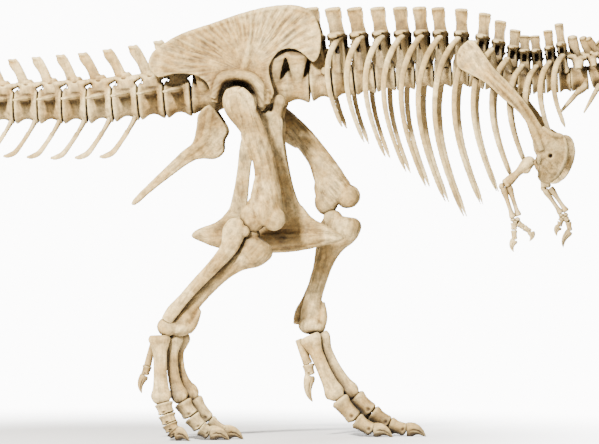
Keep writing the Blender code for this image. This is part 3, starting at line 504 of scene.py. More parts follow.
def lay_grain(piece, along):
    """Writes the grain; along is the fibres' direction, or a rule from places to grain."""
    places = places_of(piece)
    if callable(along):
        grain = along(places)
    else:
        first = along.normalized()
        second = first.cross(Vector((0, 1, 0)) if abs(first.y) < 0.9 else UP).normalized()
        third = first.cross(second)
        axes = np.array([first * GRAIN_STRETCH, second, third]).T
        grain = places @ axes
    start = len(settled)
    grain = grain + np.array([start * 0.37, start * 0.71, 0.0 if callable(along) else start * 0.13])
    layer = piece.data.attributes.new("grain", "FLOAT_VECTOR", "POINT")
    layer.data.foreach_set("vector", grain.astype(np.float32).reshape(-1))


def settle(piece, slot, nodes, along=ALONG_X):
    """Finishes a bone and puts it in the place of the frame's nodes."""
    lay_grain(piece, along)
    piece.data.materials.clear()
    piece.data.materials.append(FINISHES[slot])
    piece.data.shade_smooth()
    piece.data.transform(Matrix.Translation(HIP_ZERO))
    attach(piece, "root")
    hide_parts(*nodes)
    settled.append(piece)
    return piece


print("nothing has settled yet:", len(settled))

# %% [markdown]
# ## The column's line
#
# The vertebrae follow one line from the tail's tip to the head: level over the hips,
# sagging a little at the shoulders and rising in an S to the skull.  The numbers are the
# line's places and half the height of a vertebra's body there.

# %% The line and its slope
COLUMN = [
    ((-7.1, 3.23), 0.025), ((-5.9, 3.11), 0.053), ((-4.6, 3.01), 0.083),
    ((-3.3, 2.94), 0.119), ((-2.2, 2.915), 0.146), ((-1.4, 2.93), 0.161),
    ((-0.62, 2.99), 0.164), ((0.0, 3.05), 0.152), ((0.62, 3.115), 0.145),
    ((1.2, 3.18), 0.132), ((1.87, 3.21), 0.118), ((2.4, 3.13), 0.118),
    ((2.78, 3.15), 0.112), ((3.0, 3.175), 0.106), ((3.18, 3.25), 0.1),
    ((3.32, 3.4), 0.094), ((3.42, 3.57), 0.088), ((3.52, 3.73), 0.082),
    ((3.66, 3.85), 0.076), ((3.84, 3.9), 0.06),
]


def column_at(x):
    for ((x0, z0), r0), ((x1, z1), r1) in zip(COLUMN, COLUMN[1:]):
        if x <= x1:
            share = max(0.0, (x - x0) / (x1 - x0))
            return mix(z0, z1, share), mix(r0, r1, share)
    return COLUMN[-1][0][1], COLUMN[-1][1]


def stand_at(place, slope):
    """A matrix that puts a bone modelled at zero at a place, turned by the column's slope."""
    return Matrix.Translation(Vector(place)) @ Matrix.Rotation(-slope, 4, "Y")


def fit_vertebra(piece, length, body, above=1.0, beside=1.0, model_body=0.145):
    """Scales a vertebra: its length, its body, and what stands above and beside the body."""
    def rule(p):
        x, y, z = p[:, 0] * length, p[:, 1], p[:, 2]
        rim = model_body
        y = np.sign(y) * np.where(abs(y) < rim, abs(y) * body, rim * body + (abs(y) - rim) * beside)
        z = np.where(z < rim, z * body, rim * body + (z - rim) * above)
        return np.column_stack([x, y, z])
    return reshape(piece, rule)


print("the column rises to", column_at(3.84)[0], "m at the head")

# %% [markdown]
# ## A back vertebra
#
# A vertebra of the back is a spool-shaped body with an arch over the nerve cord.  On the
# arch stand a tall flat spine, two roof-like side processes held by thin struts, and small
# facets that meet the next bone.  One is modelled here at zero and full size; the fifteen
# of the back are copies fitted to their places.

# %% Model one back vertebra
BACK_LENGTH, BACK_BODY, BACK_RISE = 0.192, 0.145, 0.68


def spool(length, body, width=0.92, waist=0.78):
    """A vertebra's body: lipped rims and a waist."""
    h = length / 2
    places = [-h, -h * 0.93, -h * 0.72, -h * 0.35, 0, h * 0.35, h * 0.72, h * 0.93, h]
    radii = [0.86, 1.0, 0.97, waist + 0.05, waist, waist + 0.05, 0.97, 1.0, 0.86]
    return rod([(x, 0, 0) for x in places], [r * body for r in radii], (1, width, 1), steps=2, rounding=8)


def back_vertebra():
    parts = [spool(BACK_LENGTH - 0.006, BACK_BODY)]
    for side in (RIGHT, LEFT):
        parts += [
            rod([(0, side * 0.062, 0.08), (0, side * 0.06, 0.25)], [0.08, 0.074], (1, 0.45, 1)),
            rod([(-0.01, side * 0.04, 0.385), (-0.012, side * 0.15, 0.42), (-0.02, side * 0.255, 0.412)],
                [0.092, 0.088, 0.062], (1, 1, 0.34)),
            rod([(0.055, side * 0.06, 0.13), (0.035, side * 0.085, 0.27), (0.03, side * 0.135, 0.405)],
                [0.024, 0.02, 0.02]),
            rod([(-0.06, side * 0.06, 0.13), (-0.055, side * 0.085, 0.27), (-0.055, side * 0.135, 0.405)],
                [0.024, 0.02, 0.02]),
            rod([(0.02, side * 0.045, 0.24), (0.085, side * 0.05, 0.305)], [0.034, 0.026], (1, 1, 0.7)),
            rod([(-0.02, side * 0.04, 0.3), (-0.09, side * 0.045, 0.345)], [0.034, 0.026], (1, 1, 0.7)),
            knob((-0.032, side * 0.262, 0.405), (0.04, 0.022, 0.024)),
            knob((0.045, side * 0.118, 0.105), (0.03, 0.02, 0.036)),
        ]
    parts += [
        rod([(0.0, 0, 0.235), (-0.005, 0, 0.37)], [0.08, 0.084], (1, 0.72, 1)),
        rod([(-0.005, 0, 0.35), (-0.012, 0, 0.44), (-0.018, 0, 0.53), (-0.022, 0, 0.61),
             (-0.025, 0, 0.66), (-0.026, 0, BACK_RISE)],
            [0.086, 0.065, 0.056, 0.062, 0.076, 0.06], (1, 0.34, 1)),
        knob((-0.025, 0, 0.66), (0.078, 0.036, 0.024)),
        rod([(0.062, 0, 0.4), (0.04, 0, 0.52), (0.046, 0, 0.64)], [0.012, 0.011, 0.01]),
        rod([(-0.072, 0, 0.4), (-0.07, 0, 0.52), (-0.092, 0, 0.64)], [0.012, 0.011, 0.01]),
    ]
    return fuse("back_vertebra_model", parts, grain=0.0085, soften=2)


back_model = back_vertebra()
thin_out(back_model, 0.62)
print("one back vertebra has", len(back_model.data.polygons), "faces")

# %% [markdown]
# ## The back and its ribs
#
# The vertebrae shorten towards the shoulders, and their spines drop there.  Each rib hangs
# by two heads, one on the body and one under the side process.  From there it bows out,
# leans back and curves in again at its tip.  A rib is a curve with a flattened bevel, which
# is quick to bend; the two heads are knobs that are fused on.

# %% Fourteen vertebrae with ribs, and one before the hips
DORSALS = 14
LAST_DORSAL_X, DORSAL_PITCH, DORSAL_PITCH_LOSS = 0.63, 0.1948, 0.0065
RIB_ARCH_OUT, RIB_LOWEST, WIDEST_RIB, LOWEST_RIB = 0.62, 1.94, 5.5, 7


def dorsal_x(i):
    return LAST_DORSAL_X + DORSAL_PITCH * i - DORSAL_PITCH_LOSS * i * (i - 1) / 2


def dorsal_top(x):
    sag = math.exp(-(((x - 2.47) / 0.36) ** 2))
    return 3.795 - 0.245 * sag - 0.02 * max(0.0, x - 1.5)


def rib_line(i, side, steps=12):
    """The middle line of a rib and its half depths, from the body of its vertebra down."""
    x = dorsal_x(i) - 0.02
    root_z = dorsal_top(x) - 0.285
    fall = 0.13 * (LOWEST_RIB - i) if i <= LOWEST_RIB else 0.113 * (i - LOWEST_RIB)
    length = root_z - (RIB_LOWEST + fall)
    out = RIB_ARCH_OUT * (1 - (i - WIDEST_RIB) ** 2 / (63.0 if i < WIDEST_RIB else 126.0))
    z, half = column_at(x)
    line = [(x + 0.035, side * half * 0.82, z + half * 0.72), (x, side * out * 0.42, root_z - 0.012)]
    sizes = [0.024, 0.027]
    for k in range(1, steps + 1):
        t = k / steps
        lean = -0.125 * length * math.sin(math.pi * t**0.75) + 0.04 * length * t**3
        spread = out * (1 - 0.58 * (1 - t) ** 5 - 0.3 * t**3 * min(1.0, length / 1.3))
        line.append((x + lean, side * spread, root_z - length * t))
        sizes.append(mix(0.03, 0.019, t**1.3) if t < 1 else 0.007)
    return line, sizes


def rib(i, side):
    line, sizes = rib_line(i, side)
    parts = [
        rod(line, sizes, (1, 0.56, 1), steps=4),
        knob(line[0], (0.03, 0.022, 0.034)),
        knob((line[1][0], line[1][1] * 1.02, line[1][2] + 0.018), (0.032, 0.034, 0.022)),
    ]
    return fuse(f"rib_{i:02d}_{SIDE_NAMES[side]}", parts, grain=0.0092, soften=2, lump=0.003)


for i in range(DORSALS + 1):
    x = dorsal_x(i)
    z, half = column_at(x)
    slope = math.atan2(column_at(x + 0.1)[0] - column_at(x - 0.1)[0], 0.2)
    bone = copy_of(back_model, f"back_vertebra_{i:02d}")
    body = half / BACK_BODY
    rise = (dorsal_top(x) - z - half) / (BACK_RISE - BACK_BODY)
    pitch = (dorsal_x(i + 1) - dorsal_x(i - 1)) / 2
    fit_vertebra(bone, pitch / (BACK_LENGTH + 0.002), body, rise, 1.0 if i else 0.3)
    bone.data.transform(stand_at((x, 0, z), slope))
    settle(bone, "column_bone", ["trunk_left", "trunk_right"], UP)
    for side in (RIGHT, LEFT) if i else ():
        settle(rib(i, side), "column_bone", [f"trunk_{SIDE_NAMES[side]}"], Vector((-0.2, 0, 1)))
throw_away(back_model)
print(len(settled), "bones of the trunk")

# %% [markdown]
# ## The tail
#
# Forty-two vertebrae taper to the tip.  The first sixteen have side processes and tall
# spines that lean back; further on both shrink away and only long spools with short
# facets remain.  So two vertebrae are modelled, and each is copied and fitted down its
# stretch.  Below every joint hangs a chevron bone: two short arms and one blade.

# %% Model the two tail vertebrae and a chevron
CAUDALS, LAST_WITH_PROCESSES = 42, 16
TAIL_START_X, CAUDAL_LENGTH, CAUDAL_LENGTH_LOSS = -0.514, 0.236, 0.0039
TAIL_BODY, TAIL_RISE, TAIL_REACH = 0.164, 0.47, 0.27


def tail_vertebra(name, long_spine):
    parts = [spool(CAUDAL_LENGTH - 0.006, TAIL_BODY, 0.9, 0.74)]
    top = TAIL_BODY * 0.3 + TAIL_RISE
    for side in (RIGHT, LEFT):
        parts += [
            rod([(0.012, side * 0.045, 0.11), (0.012, side * 0.04, 0.205)], [0.088, 0.08], (1, 0.32, 1)),
            rod([(0.03, side * 0.035, 0.2), (0.09, side * 0.038, 0.215), (0.145, side * 0.04, 0.235)],
                [0.046, 0.042, 0.028], (1, 0.7, 0.9)),
            rod([(-0.03, side * 0.03, 0.21), (-0.105, side * 0.03, 0.235)], [0.034, 0.026], (1, 0.8, 0.9)),
        ]
        if long_spine:
            parts.append(rod(
                [(0.0, side * 0.08, 0.075), (-0.02, side * 0.27, 0.07),
                 (-0.075, side * (TAIL_BODY + TAIL_REACH), 0.055)],
                [0.062, 0.05, 0.028], (1, 1, 0.42)))
    parts.append(rod([(0.005, 0, 0.2), (-0.015, 0, 0.27)], [0.098, 0.066], (1, 0.42, 1)))
    if long_spine:
        parts.append(rod(
            [(-0.02, 0, 0.22), (-0.065, 0, 0.36), (-0.115, 0, 0.46), (-0.14, 0, top)],
            [0.056, 0.05, 0.056, 0.044], (1, 0.38, 1)))
        parts.append(knob((-0.138, 0, top - 0.015), (0.05, 0.03, 0.02), 0.3))
    else:
        parts.append(rod([(0.02, 0, 0.21), (-0.06, 0, 0.27), (-0.115, 0, 0.3)], [0.04, 0.04, 0.022],
                         (1, 0.4, 1)))
    return fuse(name, parts, grain=0.0095, soften=2)


def chevron_model():
    parts = [
        rod([(0.01, side * 0.062, 0.03), (-0.03, side * 0.045, -0.05), (-0.075, 0, -0.125)],
            [0.024, 0.019, 0.02])
        for side in (RIGHT, LEFT)
    ]
    parts.append(rod(
        [(-0.07, 0, -0.115), (-0.125, 0, -0.2), (-0.2, 0, -0.3), (-0.265, 0, -0.335), (-0.325, 0, -0.345)],
        [0.026, 0.024, 0.028, 0.026, 0.012], (1, 0.55, 1)))
    return fuse("chevron_model", parts, grain=0.008, soften=2, lump=0.002)


front_tail_model = tail_vertebra("front_tail_model", True)
hind_tail_model = tail_vertebra("hind_tail_model", False)
hanging_model = chevron_model()
for model, kept in ((front_tail_model, 0.58), (hind_tail_model, 0.3), (hanging_model, 0.55)):
    thin_out(model, kept)
print("a tail vertebra has", len(front_tail_model.data.polygons), "faces")

# %% Set out the tail
def tail_node(k):
    return "tail_base" if k < 10 else "tail_middle" if k < 22 else "tail_end"


joint_x = [TAIL_START_X]
for k in range(CAUDALS):
    joint_x.append(joint_x[-1] - (CAUDAL_LENGTH - CAUDAL_LENGTH_LOSS * k))
for k in range(CAUDALS):
    length = joint_x[k] - joint_x[k + 1]
    middle = (joint_x[k] + joint_x[k + 1]) / 2
    z, half = column_at(middle)
    slope = math.atan2(column_at(joint_x[k])[0] - column_at(joint_x[k + 1])[0], length)
    share = k / (CAUDALS - 1)
    with_processes = k < LAST_WITH_PROCESSES
    bone = copy_of(front_tail_model if with_processes else hind_tail_model, f"tail_vertebra_{k:02d}")
    body = half / TAIL_BODY
    rise = mix(0.47, 0.02, share**0.72) / TAIL_RISE
    beside = max(0.0, 1 - k / LAST_WITH_PROCESSES) if with_processes else body
    above = rise if with_processes else mix(0.9, 0.15,
                                            (k - LAST_WITH_PROCESSES) / (CAUDALS - LAST_WITH_PROCESSES))
    fit_vertebra(bone, length / CAUDAL_LENGTH, body, above, beside, TAIL_BODY)
    bone.data.transform(stand_at((middle, 0, z), slope))
    settle(bone, "column_bone", [tail_node(k)], Vector((-0.3, 0, 1)) if with_processes else ALONG_X)
    if 2 <= k < 34:
        size = mix(0.36, 0.06, (k - 2) / 32) / 0.36
        x = joint_x[k] - 0.03
        z, half = column_at(x)
        place = Matrix.Translation((x, 0, z - half * 0.86)) @ Matrix.Scale(size, 4)
        hanging = copy_of(hanging_model, f"chevron_{k:02d}", place)
        settle(hanging, "column_bone", [tail_node(k)], Vector((0.6, 0, 1)))
throw_away(front_tail_model, hind_tail_model, hanging_model)
print(len(settled), "bones with the tail")

# %% [markdown]
# ## The neck
#
# Ten short vertebrae make the S of the neck.  Their spines are low and broad, their side
# processes turn down, and a thin rib trails back from each.  One is modelled upright at
# zero; its copies turn with the bend.

# %% Model one neck vertebra and set out ten
CERVICALS = 10
NECK_LENGTH, NECK_BODY, NECK_RISE = 0.155, 0.108, 0.257
NECK_FROM, NECK_TO, NECK_STEPS = 0.0365, 0.955, 200


def neck_vertebra():
    parts = [spool(NECK_LENGTH - 0.006, NECK_BODY, 1.0, 0.8)]
    for side in (RIGHT, LEFT):
        parts += [
            rod([(0, side * 0.05, 0.06), (0, side * 0.055, 0.17)], [0.05, 0.045], (1, 0.5, 1)),
            rod([(0.0, side * 0.05, 0.155), (0.01, side * 0.16, 0.13), (0.0, side * 0.225, 0.075)],
                [0.052, 0.042, 0.03], (1, 1, 0.6)),
            rod([(0.02, side * 0.07, 0.17), (0.085, side * 0.095, 0.17)], [0.034, 0.028], (1, 1, 0.7)),
            rod([(-0.02, side * 0.07, 0.18), (-0.085, side * 0.09, 0.2)], [0.036, 0.028], (1, 1, 0.7)),
            knob((-0.075, side * 0.075, 0.215), (0.028, 0.026, 0.024)),
            rod([(0.045, side * 0.085, -0.045), (0.03, side * 0.135, -0.085), (-0.05, side * 0.135, -0.135)],
                [0.026, 0.03, 0.02]),
        ]
    parts += [
        rod([(0.0, 0, 0.16), (-0.015, 0, 0.24), (-0.025, 0, 0.33), (-0.025, 0, 0.365)],
            [0.052, 0.046, 0.046, 0.034], (1, 0.55, 1)),
        knob((-0.025, 0, 0.348), (0.046, 0.04, 0.022)),
    ]
    return fuse("neck_vertebra_model", parts, grain=0.008, soften=2)


neck_model = neck_vertebra()
thin_out(neck_model, 0.6)
neck_path = through([(x, 0, z) for (x, z), _ in COLUMN if x > 2.75], NECK_STEPS + 1)
neck_halves = through([(r, 0) for (x, _), r in COLUMN if x > 2.75], NECK_STEPS + 1)


def neck_place(at):
    """A place on the neck's line, which runs from 0 at the shoulders to 1 at the head."""
    return neck_path[min(NECK_STEPS, round(at * NECK_STEPS))]


for i in range(CERVICALS):
    at = mix(NECK_FROM, NECK_TO, (i + 0.5) / CERVICALS)
    here = neck_place(at)
    ahead = neck_place(at + 0.03) - neck_place(at - 0.03)
    slope = math.atan2(ahead.z, ahead.x)
    half = neck_halves[round(at * NECK_STEPS)].x
    first = neck_place(mix(NECK_FROM, NECK_TO, i / CERVICALS))
    last = neck_place(mix(NECK_FROM, NECK_TO, (i + 1) / CERVICALS))
    length = (last - first).length
    rise = mix(0.27, 0.13, i / (CERVICALS - 1)) - (0.06 if 3 <= i <= 6 else 0.0)
    bone = copy_of(neck_model, f"neck_vertebra_{i:02d}")
    fit_vertebra(bone, length / NECK_LENGTH, half / NECK_BODY, rise / NECK_RISE, half / NECK_BODY, NECK_BODY)
    bone.data.transform(stand_at(here, slope))
    settle(bone, "column_bone", ["neck"], UP)
    up = Vector((-math.sin(slope), 0, math.cos(slope)))
    along = Vector((math.cos(slope), 0, math.sin(slope)))
    trail = (along * -0.72 - up * 0.69).normalized()
    reach = mix(0.3, 0.12, i / (CERVICALS - 1))
    for side in (RIGHT, LEFT):
        root = here - up * half * 0.85 + Vector((0, side * half * 1.18, 0))
        line = [root, root + trail * reach * 0.5, root + trail * reach - Vector((0, side * 0.02, 0))]
        splint = rod(line, [0.024, 0.019, 0.008], (1, 0.7, 1))
        bone = fuse(f"neck_rib_{i:02d}_{SIDE_NAMES[side]}", [splint], grain=0.006, soften=1, lump=0.0)
        settle(bone, "column_bone", ["neck"], trail)
throw_away(neck_model)
print(len(settled), "bones with the neck")

# %% [markdown]
# ## The sacrum
#
# Between the hip blades five vertebrae have grown into one bone.  Their bodies show below
# the blades' notch, their joined spines make a low crest between them, and their ribs
# reach out to the blades.

# %% Five vertebrae in one
SACRALS = 5


def sacrum():
    start, end = TAIL_START_X + 0.006, LAST_DORSAL_X - 0.1
    pitch = (end - start) / SACRALS
    parts = []
    for i in range(SACRALS):
        x = start + pitch * (i + 0.5)
        z, half = column_at(x)
        body = spool(pitch + 0.004, half, 0.72, 0.8)
        body.location = (x, 0, z)
        crest = 3.465 + 0.14 * math.sin(math.pi * (i + 0.7) / 5.4)
        parts += [
            body,
            rod([(x, 0, z), (x, 0, mix(z, crest, 0.5)), (x - 0.02, 0, crest - 0.03), (x - 0.02, 0, crest)],
                [pitch * 0.5, pitch * 0.56, pitch * 0.6, pitch * 0.52], (1, 0.2, 1)),
        ]
        for side in (RIGHT, LEFT):
            parts.append(rod([(x, side * 0.06, z + 0.02), (x, side * 0.12, z + 0.14),
                              (x, side * 0.15, z + 0.3)],
                             [0.05, 0.066, 0.112], (1, 0.34, 1)))
    return without_specks(fuse("sacrum_bone", parts, grain=0.0115, soften=2))


settle(sacrum(), "column_bone", ["sacrum"], ALONG_X)
print("the sacrum is", round(settled[-1].dimensions.x, 2), "m long")

# %% [markdown]
# ## The hip bones
#
# Three bones meet round each hip socket.  The blade above is broad and thin, thick along
# its rim and over the socket, with fine ridges that fan out from there where muscles held
# on.  The sit bones sweep back.  The pubic bones hang down and end in one heavy boot.
# Each starts as a plate cut to its outline; the rims are rods fused to it.

# %% Outlines of the hip bones
ILIUM = [
    (-0.87, 3.34), (-0.8, 3.43), (-0.62, 3.53), (-0.3, 3.64), (-0.05, 3.73), (0.18, 3.785),
    (0.38, 3.8), (0.54, 3.76), (0.61, 3.64), (0.64, 3.53), (0.63, 3.38), (0.57, 3.3),
    (0.46, 3.39), (0.36, 3.42), (0.26, 3.385), (0.185, 3.26), (0.205, 3.12), (0.23, 3.02),
    (0.17, 2.92), (0.12, 2.87), (0.085, 2.95), (0.055, 3.04), (-0.01, 3.11), (-0.11, 3.135),
    (-0.2, 3.105), (-0.255, 3.02), (-0.27, 2.94), (-0.325, 3.01), (-0.36, 3.12), (-0.48, 3.19),
    (-0.64, 3.2), (-0.79, 3.17), (-0.87, 3.25),
]
ISCHIUM = [
    (-0.34, 2.93), (-0.44, 2.85), (-0.46, 2.75), (-0.5, 2.6), (-0.6, 2.52), (-0.8, 2.33),
    (-1.03, 2.1), (-1.02, 2.05), (-0.9, 2.15), (-0.68, 2.32), (-0.48, 2.45), (-0.31, 2.455),
    (-0.23, 2.52), (-0.225, 2.62), (-0.19, 2.71), (-0.27, 2.85),
]
PUBIS_SHAFT = [
    (0.175, 2.885), (0.21, 2.835), (0.3, 2.8), (0.3, 2.65), (0.325, 2.47), (0.37, 2.26),
    (0.43, 2.08), (0.53, 1.94), (0.5, 1.84), (0.36, 1.86), (0.27, 2.04), (0.2, 2.3),
    (0.17, 2.5), (0.15, 2.7), (0.1, 2.8), (0.11, 2.855),
]
PUBIS_APRON = [
    (0.12, 2.8), (0.15, 2.72), (0.07, 2.62), (0.03, 2.5), (0.005, 2.36), (-0.015, 2.14),
    (-0.025, 2.0), (0.02, 1.85), (-0.2, 1.83), (-0.25, 1.93), (-0.185, 2.02), (-0.14, 2.2),
    (-0.112, 2.38), (-0.098, 2.52), (-0.075, 2.64), (-0.02, 2.74), (0.04, 2.8),
]
PUBIS_BOOT = [
    (0.4, 2.05), (0.53, 1.94), (0.68, 1.86), (0.8, 1.79), (0.82, 1.745), (0.68, 1.7),
    (0.49, 1.655), (0.3, 1.63), (0.08, 1.63), (-0.14, 1.645), (-0.3, 1.675), (-0.42, 1.72),
    (-0.52, 1.775), (-0.46, 1.84), (-0.3, 1.9), (-0.16, 2.0), (0.0, 1.9), (0.15, 1.9),
    (0.27, 1.98),
]
SOCKET_ARCH = [(0.115, 2.9), (0.115, 3.05), (0.045, 3.15), (-0.1, 3.19), (-0.24, 3.15), (-0.295, 2.98)]
BLADE_RIM = [(-0.84, 3.37), (-0.62, 3.515), (-0.3, 3.625), (-0.05, 3.71), (0.18, 3.765), (0.38, 3.778),
             (0.53, 3.735), (0.592, 3.63), (0.615, 3.52), (0.6, 3.38)]
FAN_CENTRE = Vector((-0.03, 3.22))

# %% The hip blades
def blade_out(z):
    return np.interp(z, [2.9, 3.8], [0.235, 0.15])


def fan_grain(p):
    """Grain that fans out from over the hip socket."""
    dx, dz = p[:, 0] - FAN_CENTRE.x, p[:, 2] - FAN_CENTRE.y
    far = np.hypot(dx, dz)
    turn = np.arctan2(dz, dx + 1e-6)
    return np.column_stack([far * GRAIN_STRETCH, turn * 0.75, p[:, 1]])


def hip_blade(side):
    blade = plate(ILIUM, 0.05, rim=0.5)
    arch = rod([(x, -0.022, z) for x, z in SOCKET_ARCH], [0.036, 0.052, 0.056, 0.054, 0.052, 0.038],
               (1, 1.25, 1))
    rim = rod([(x, -0.004, z) for x, z in BLADE_RIM],
              [0.018, 0.026, 0.028, 0.028, 0.028, 0.028, 0.026, 0.022, 0.02, 0.014])
    ridge = rod([(-0.05, -0.015, 3.2), (0.0, -0.018, 3.4), (0.03, -0.012, 3.66)], [0.042, 0.032, 0.016],
                (1, 0.7, 1))
    peg = rod([(-0.3, 0, 3.02), (-0.285, 0, 2.955)], [0.045, 0.034])
    knee = rod([(0.15, 0, 3.06), (0.155, 0, 2.93)], [0.062, 0.048], (1, 0.9, 1))
    bone = fuse(f"hip_blade_{SIDE_NAMES[side]}", [blade, arch, rim, ridge, peg, knee], grain=0.0095,
                soften=3, lump=0.005)

    def shape(p):
        x, y, z = p[:, 0], p[:, 1], p[:, 2]
        dx, dz = x - FAN_CENTRE.x, z - FAN_CENTRE.y
        far, turn = np.hypot(dx, dz), np.arctan2(dz, dx)
        fine = 0.0026 * np.sin(turn * 61 + 3 * np.sin(far * 9))
        broad = 0.0026 * np.sin(turn * 37 + 2 * np.sin(far * 6))
        ridges = (fine + broad) * np.clip((far - 0.18) / 0.3, 0, 1)
        hollow = 0.022 * np.exp(-(((x - 0.3) / 0.17) ** 2) - ((z - 3.57) / 0.13) ** 2)
        hollow += 0.022 * np.exp(-(((x + 0.42) / 0.25) ** 2) - ((z - 3.37) / 0.1) ** 2)
        outer = y < 0
        y = np.where(outer, y + (ridges + hollow), y)
        return np.column_stack([x, -side * y + side * blade_out(z), z])

    return reshape_blade(bone, side, shape)


for side in (RIGHT, LEFT):
    settle(hip_blade(side), "hip_bone", [f"ilium_{SIDE_NAMES[side]}"], fan_grain)
print("a hip blade is", round(settled[-1].dimensions.x, 2), "m long")

# %% The sit bones
def sit_bone(side):
    blade = plate(ISCHIUM, 0.042, rim=0.7)
    top = rod([(-0.33, 0, 2.9), (-0.36, 0, 2.76), (-0.4, 0, 2.62), (-0.55, 0, 2.5), (-0.78, 0, 2.3),
               (-1.0, 0, 2.085)],
              [0.04, 0.042, 0.045, 0.042, 0.03, 0.022], (1, 0.75, 1))
    bone = fuse(f"sit_bone_{SIDE_NAMES[side]}", [blade, top], grain=0.008)

    def shape(p):
        out = np.maximum(0.034, np.interp(p[:, 2], [2.45, 2.95], [0.034, 0.205]))
        return np.column_stack([p[:, 0], p[:, 1] + side * out, p[:, 2]])

    return reshape(bone, shape)


for side in (RIGHT, LEFT):
    settle(sit_bone(side), "hip_bone", [f"ischium_{SIDE_NAMES[side]}"], Vector((0.75, 0, 0.66)))
print("the sit bones reach back to", ISCHIUM[6][0])

# %% The pubic bones and their boot
def pubic_bone():
    parts = []
    for side in (RIGHT, LEFT):
        half = fuse("pubic_side", [
            plate(PUBIS_SHAFT, 0.06, rim=0.7),
            rod([(0.18, 0, 2.86), (0.24, 0, 2.66), (0.27, 0, 2.4), (0.34, 0, 2.14), (0.46, 0, 1.9),
                 (0.56, 0, 1.8)],
                [0.058, 0.05, 0.048, 0.052, 0.05, 0.03], (1, 0.75, 1)),
            knob((0.275, 0, 2.955), (0.055, 0.042, 0.065)),
            rod([(0.275, 0, 2.96), (0.245, 0, 2.8), (0.25, 0, 2.62)], [0.05, 0.042, 0.042], (1, 0.8, 1)),
        ], grain=0.01, lump=0.0)
        reshape(half, lambda p, s=side: np.column_stack(
            [p[:, 0], p[:, 1] + s * np.interp(p[:, 2], [1.85, 2.1, 2.95], [0.0, 0.03, 0.205]), p[:, 2]]))
        parts.append(half)
    parts += [
        plate(PUBIS_APRON, 0.042, rim=0.6),
        plate(PUBIS_BOOT, 0.095, rim=0.8),
        rod([(-0.38, 0, 1.77), (-0.1, 0, 1.74), (0.2, 0, 1.735), (0.5, 0, 1.755), (0.74, 0, 1.765)],
            [0.045, 0.08, 0.092, 0.08, 0.042], (1, 0.9, 1)),
        rod([(0.42, 0, 2.02), (0.52, 0, 1.9), (0.66, 0, 1.83), (0.78, 0, 1.775)], [0.05, 0.05, 0.045, 0.03]),
    ]
    return fuse("pubic_bone", parts, grain=0.0095, soften=3, lump=0.005)


def boot_grain(p):
    """Grain that runs down the shafts and turns along the boot."""
    boot = np.clip((1.98 - p[:, 2]) / 0.12, 0, 1)
    along = p[:, 2] * (1 - boot) + p[:, 0] * boot
    across = (p[:, 0] + 0.18 * p[:, 2]) * (1 - boot) + p[:, 2] * boot
    return np.column_stack([along * GRAIN_STRETCH, across, p[:, 1]])


settle(pubic_bone(), "hip_bone", ["pubis"], boot_grain)
print("the boot is", round(PUBIS_BOOT[4][0] - PUBIS_BOOT[12][0], 2), "m long")

# %% [markdown]
# ## The legs
#
# A long bone is a shaft with knobs at its ends.  The thigh bone has a round head on a short
# neck, a trochanter beside it, a ridge on its back and two condyles at the knee.  The shin
# has a crest in front and ends in the ankle's two rollers.  The three bones of the foot
# stand upright, the middle one pinched thin above.  A shaft's stations say how far down it
# is, how far forward of the straight line, and its half depth and half width.

# %% Stations of the long bones
FEMUR_STATIONS = [
    (0.0, 0.0, 0.06, 0.06), (0.07, 0.0, 0.12, 0.095), (0.155, 0.02, 0.13, 0.105),
    (0.25, 0.06, 0.112, 0.1), (0.36, 0.095, 0.1, 0.094), (0.5, 0.115, 0.098, 0.092),
    (0.66, 0.105, 0.104, 0.096), (0.79, 0.07, 0.13, 0.118), (0.87, 0.025, 0.165, 0.145),
    (0.94, 0.0, 0.16, 0.15), (0.985, -0.01, 0.12, 0.12),
]
TIBIA_STATIONS = [
    (0.0, 0.02, 0.11, 0.095), (0.05, 0.025, 0.165, 0.13), (0.13, 0.025, 0.155, 0.118),
    (0.25, -0.015, 0.11, 0.086), (0.4, -0.045, 0.086, 0.074), (0.6, -0.06, 0.078, 0.068),
    (0.78, -0.06, 0.08, 0.08), (0.9, -0.035, 0.1, 0.115), (1.0, 0.0, 0.095, 0.11),
]
METATARSAL_STATIONS = [
    (0.0, 0.0, 1.2, 0.85), (0.06, 0.0, 1.42, 1.0), (0.14, 0.3, 1.22, 0.92), (0.28, 0.8, 0.9, 0.82),
    (0.55, 1.0, 0.86, 0.82), (0.78, 0.6, 1.0, 0.94), (0.9, 0.1, 1.26, 1.06), (0.96, 0.0, 1.24, 1.06),
    (1.0, 0.0, 0.98, 0.92),
]
METATARSAL_BOW = {RIGHT: {2: -0.055, 3: -0.035, 4: 0.0}, LEFT: {2: -0.005, 3: -0.02, 4: -0.01}}
HIP = Vector((-0.1, 0.0, 2.985))
HIP_HALF, THIGH_OUT = 0.215, 0.425
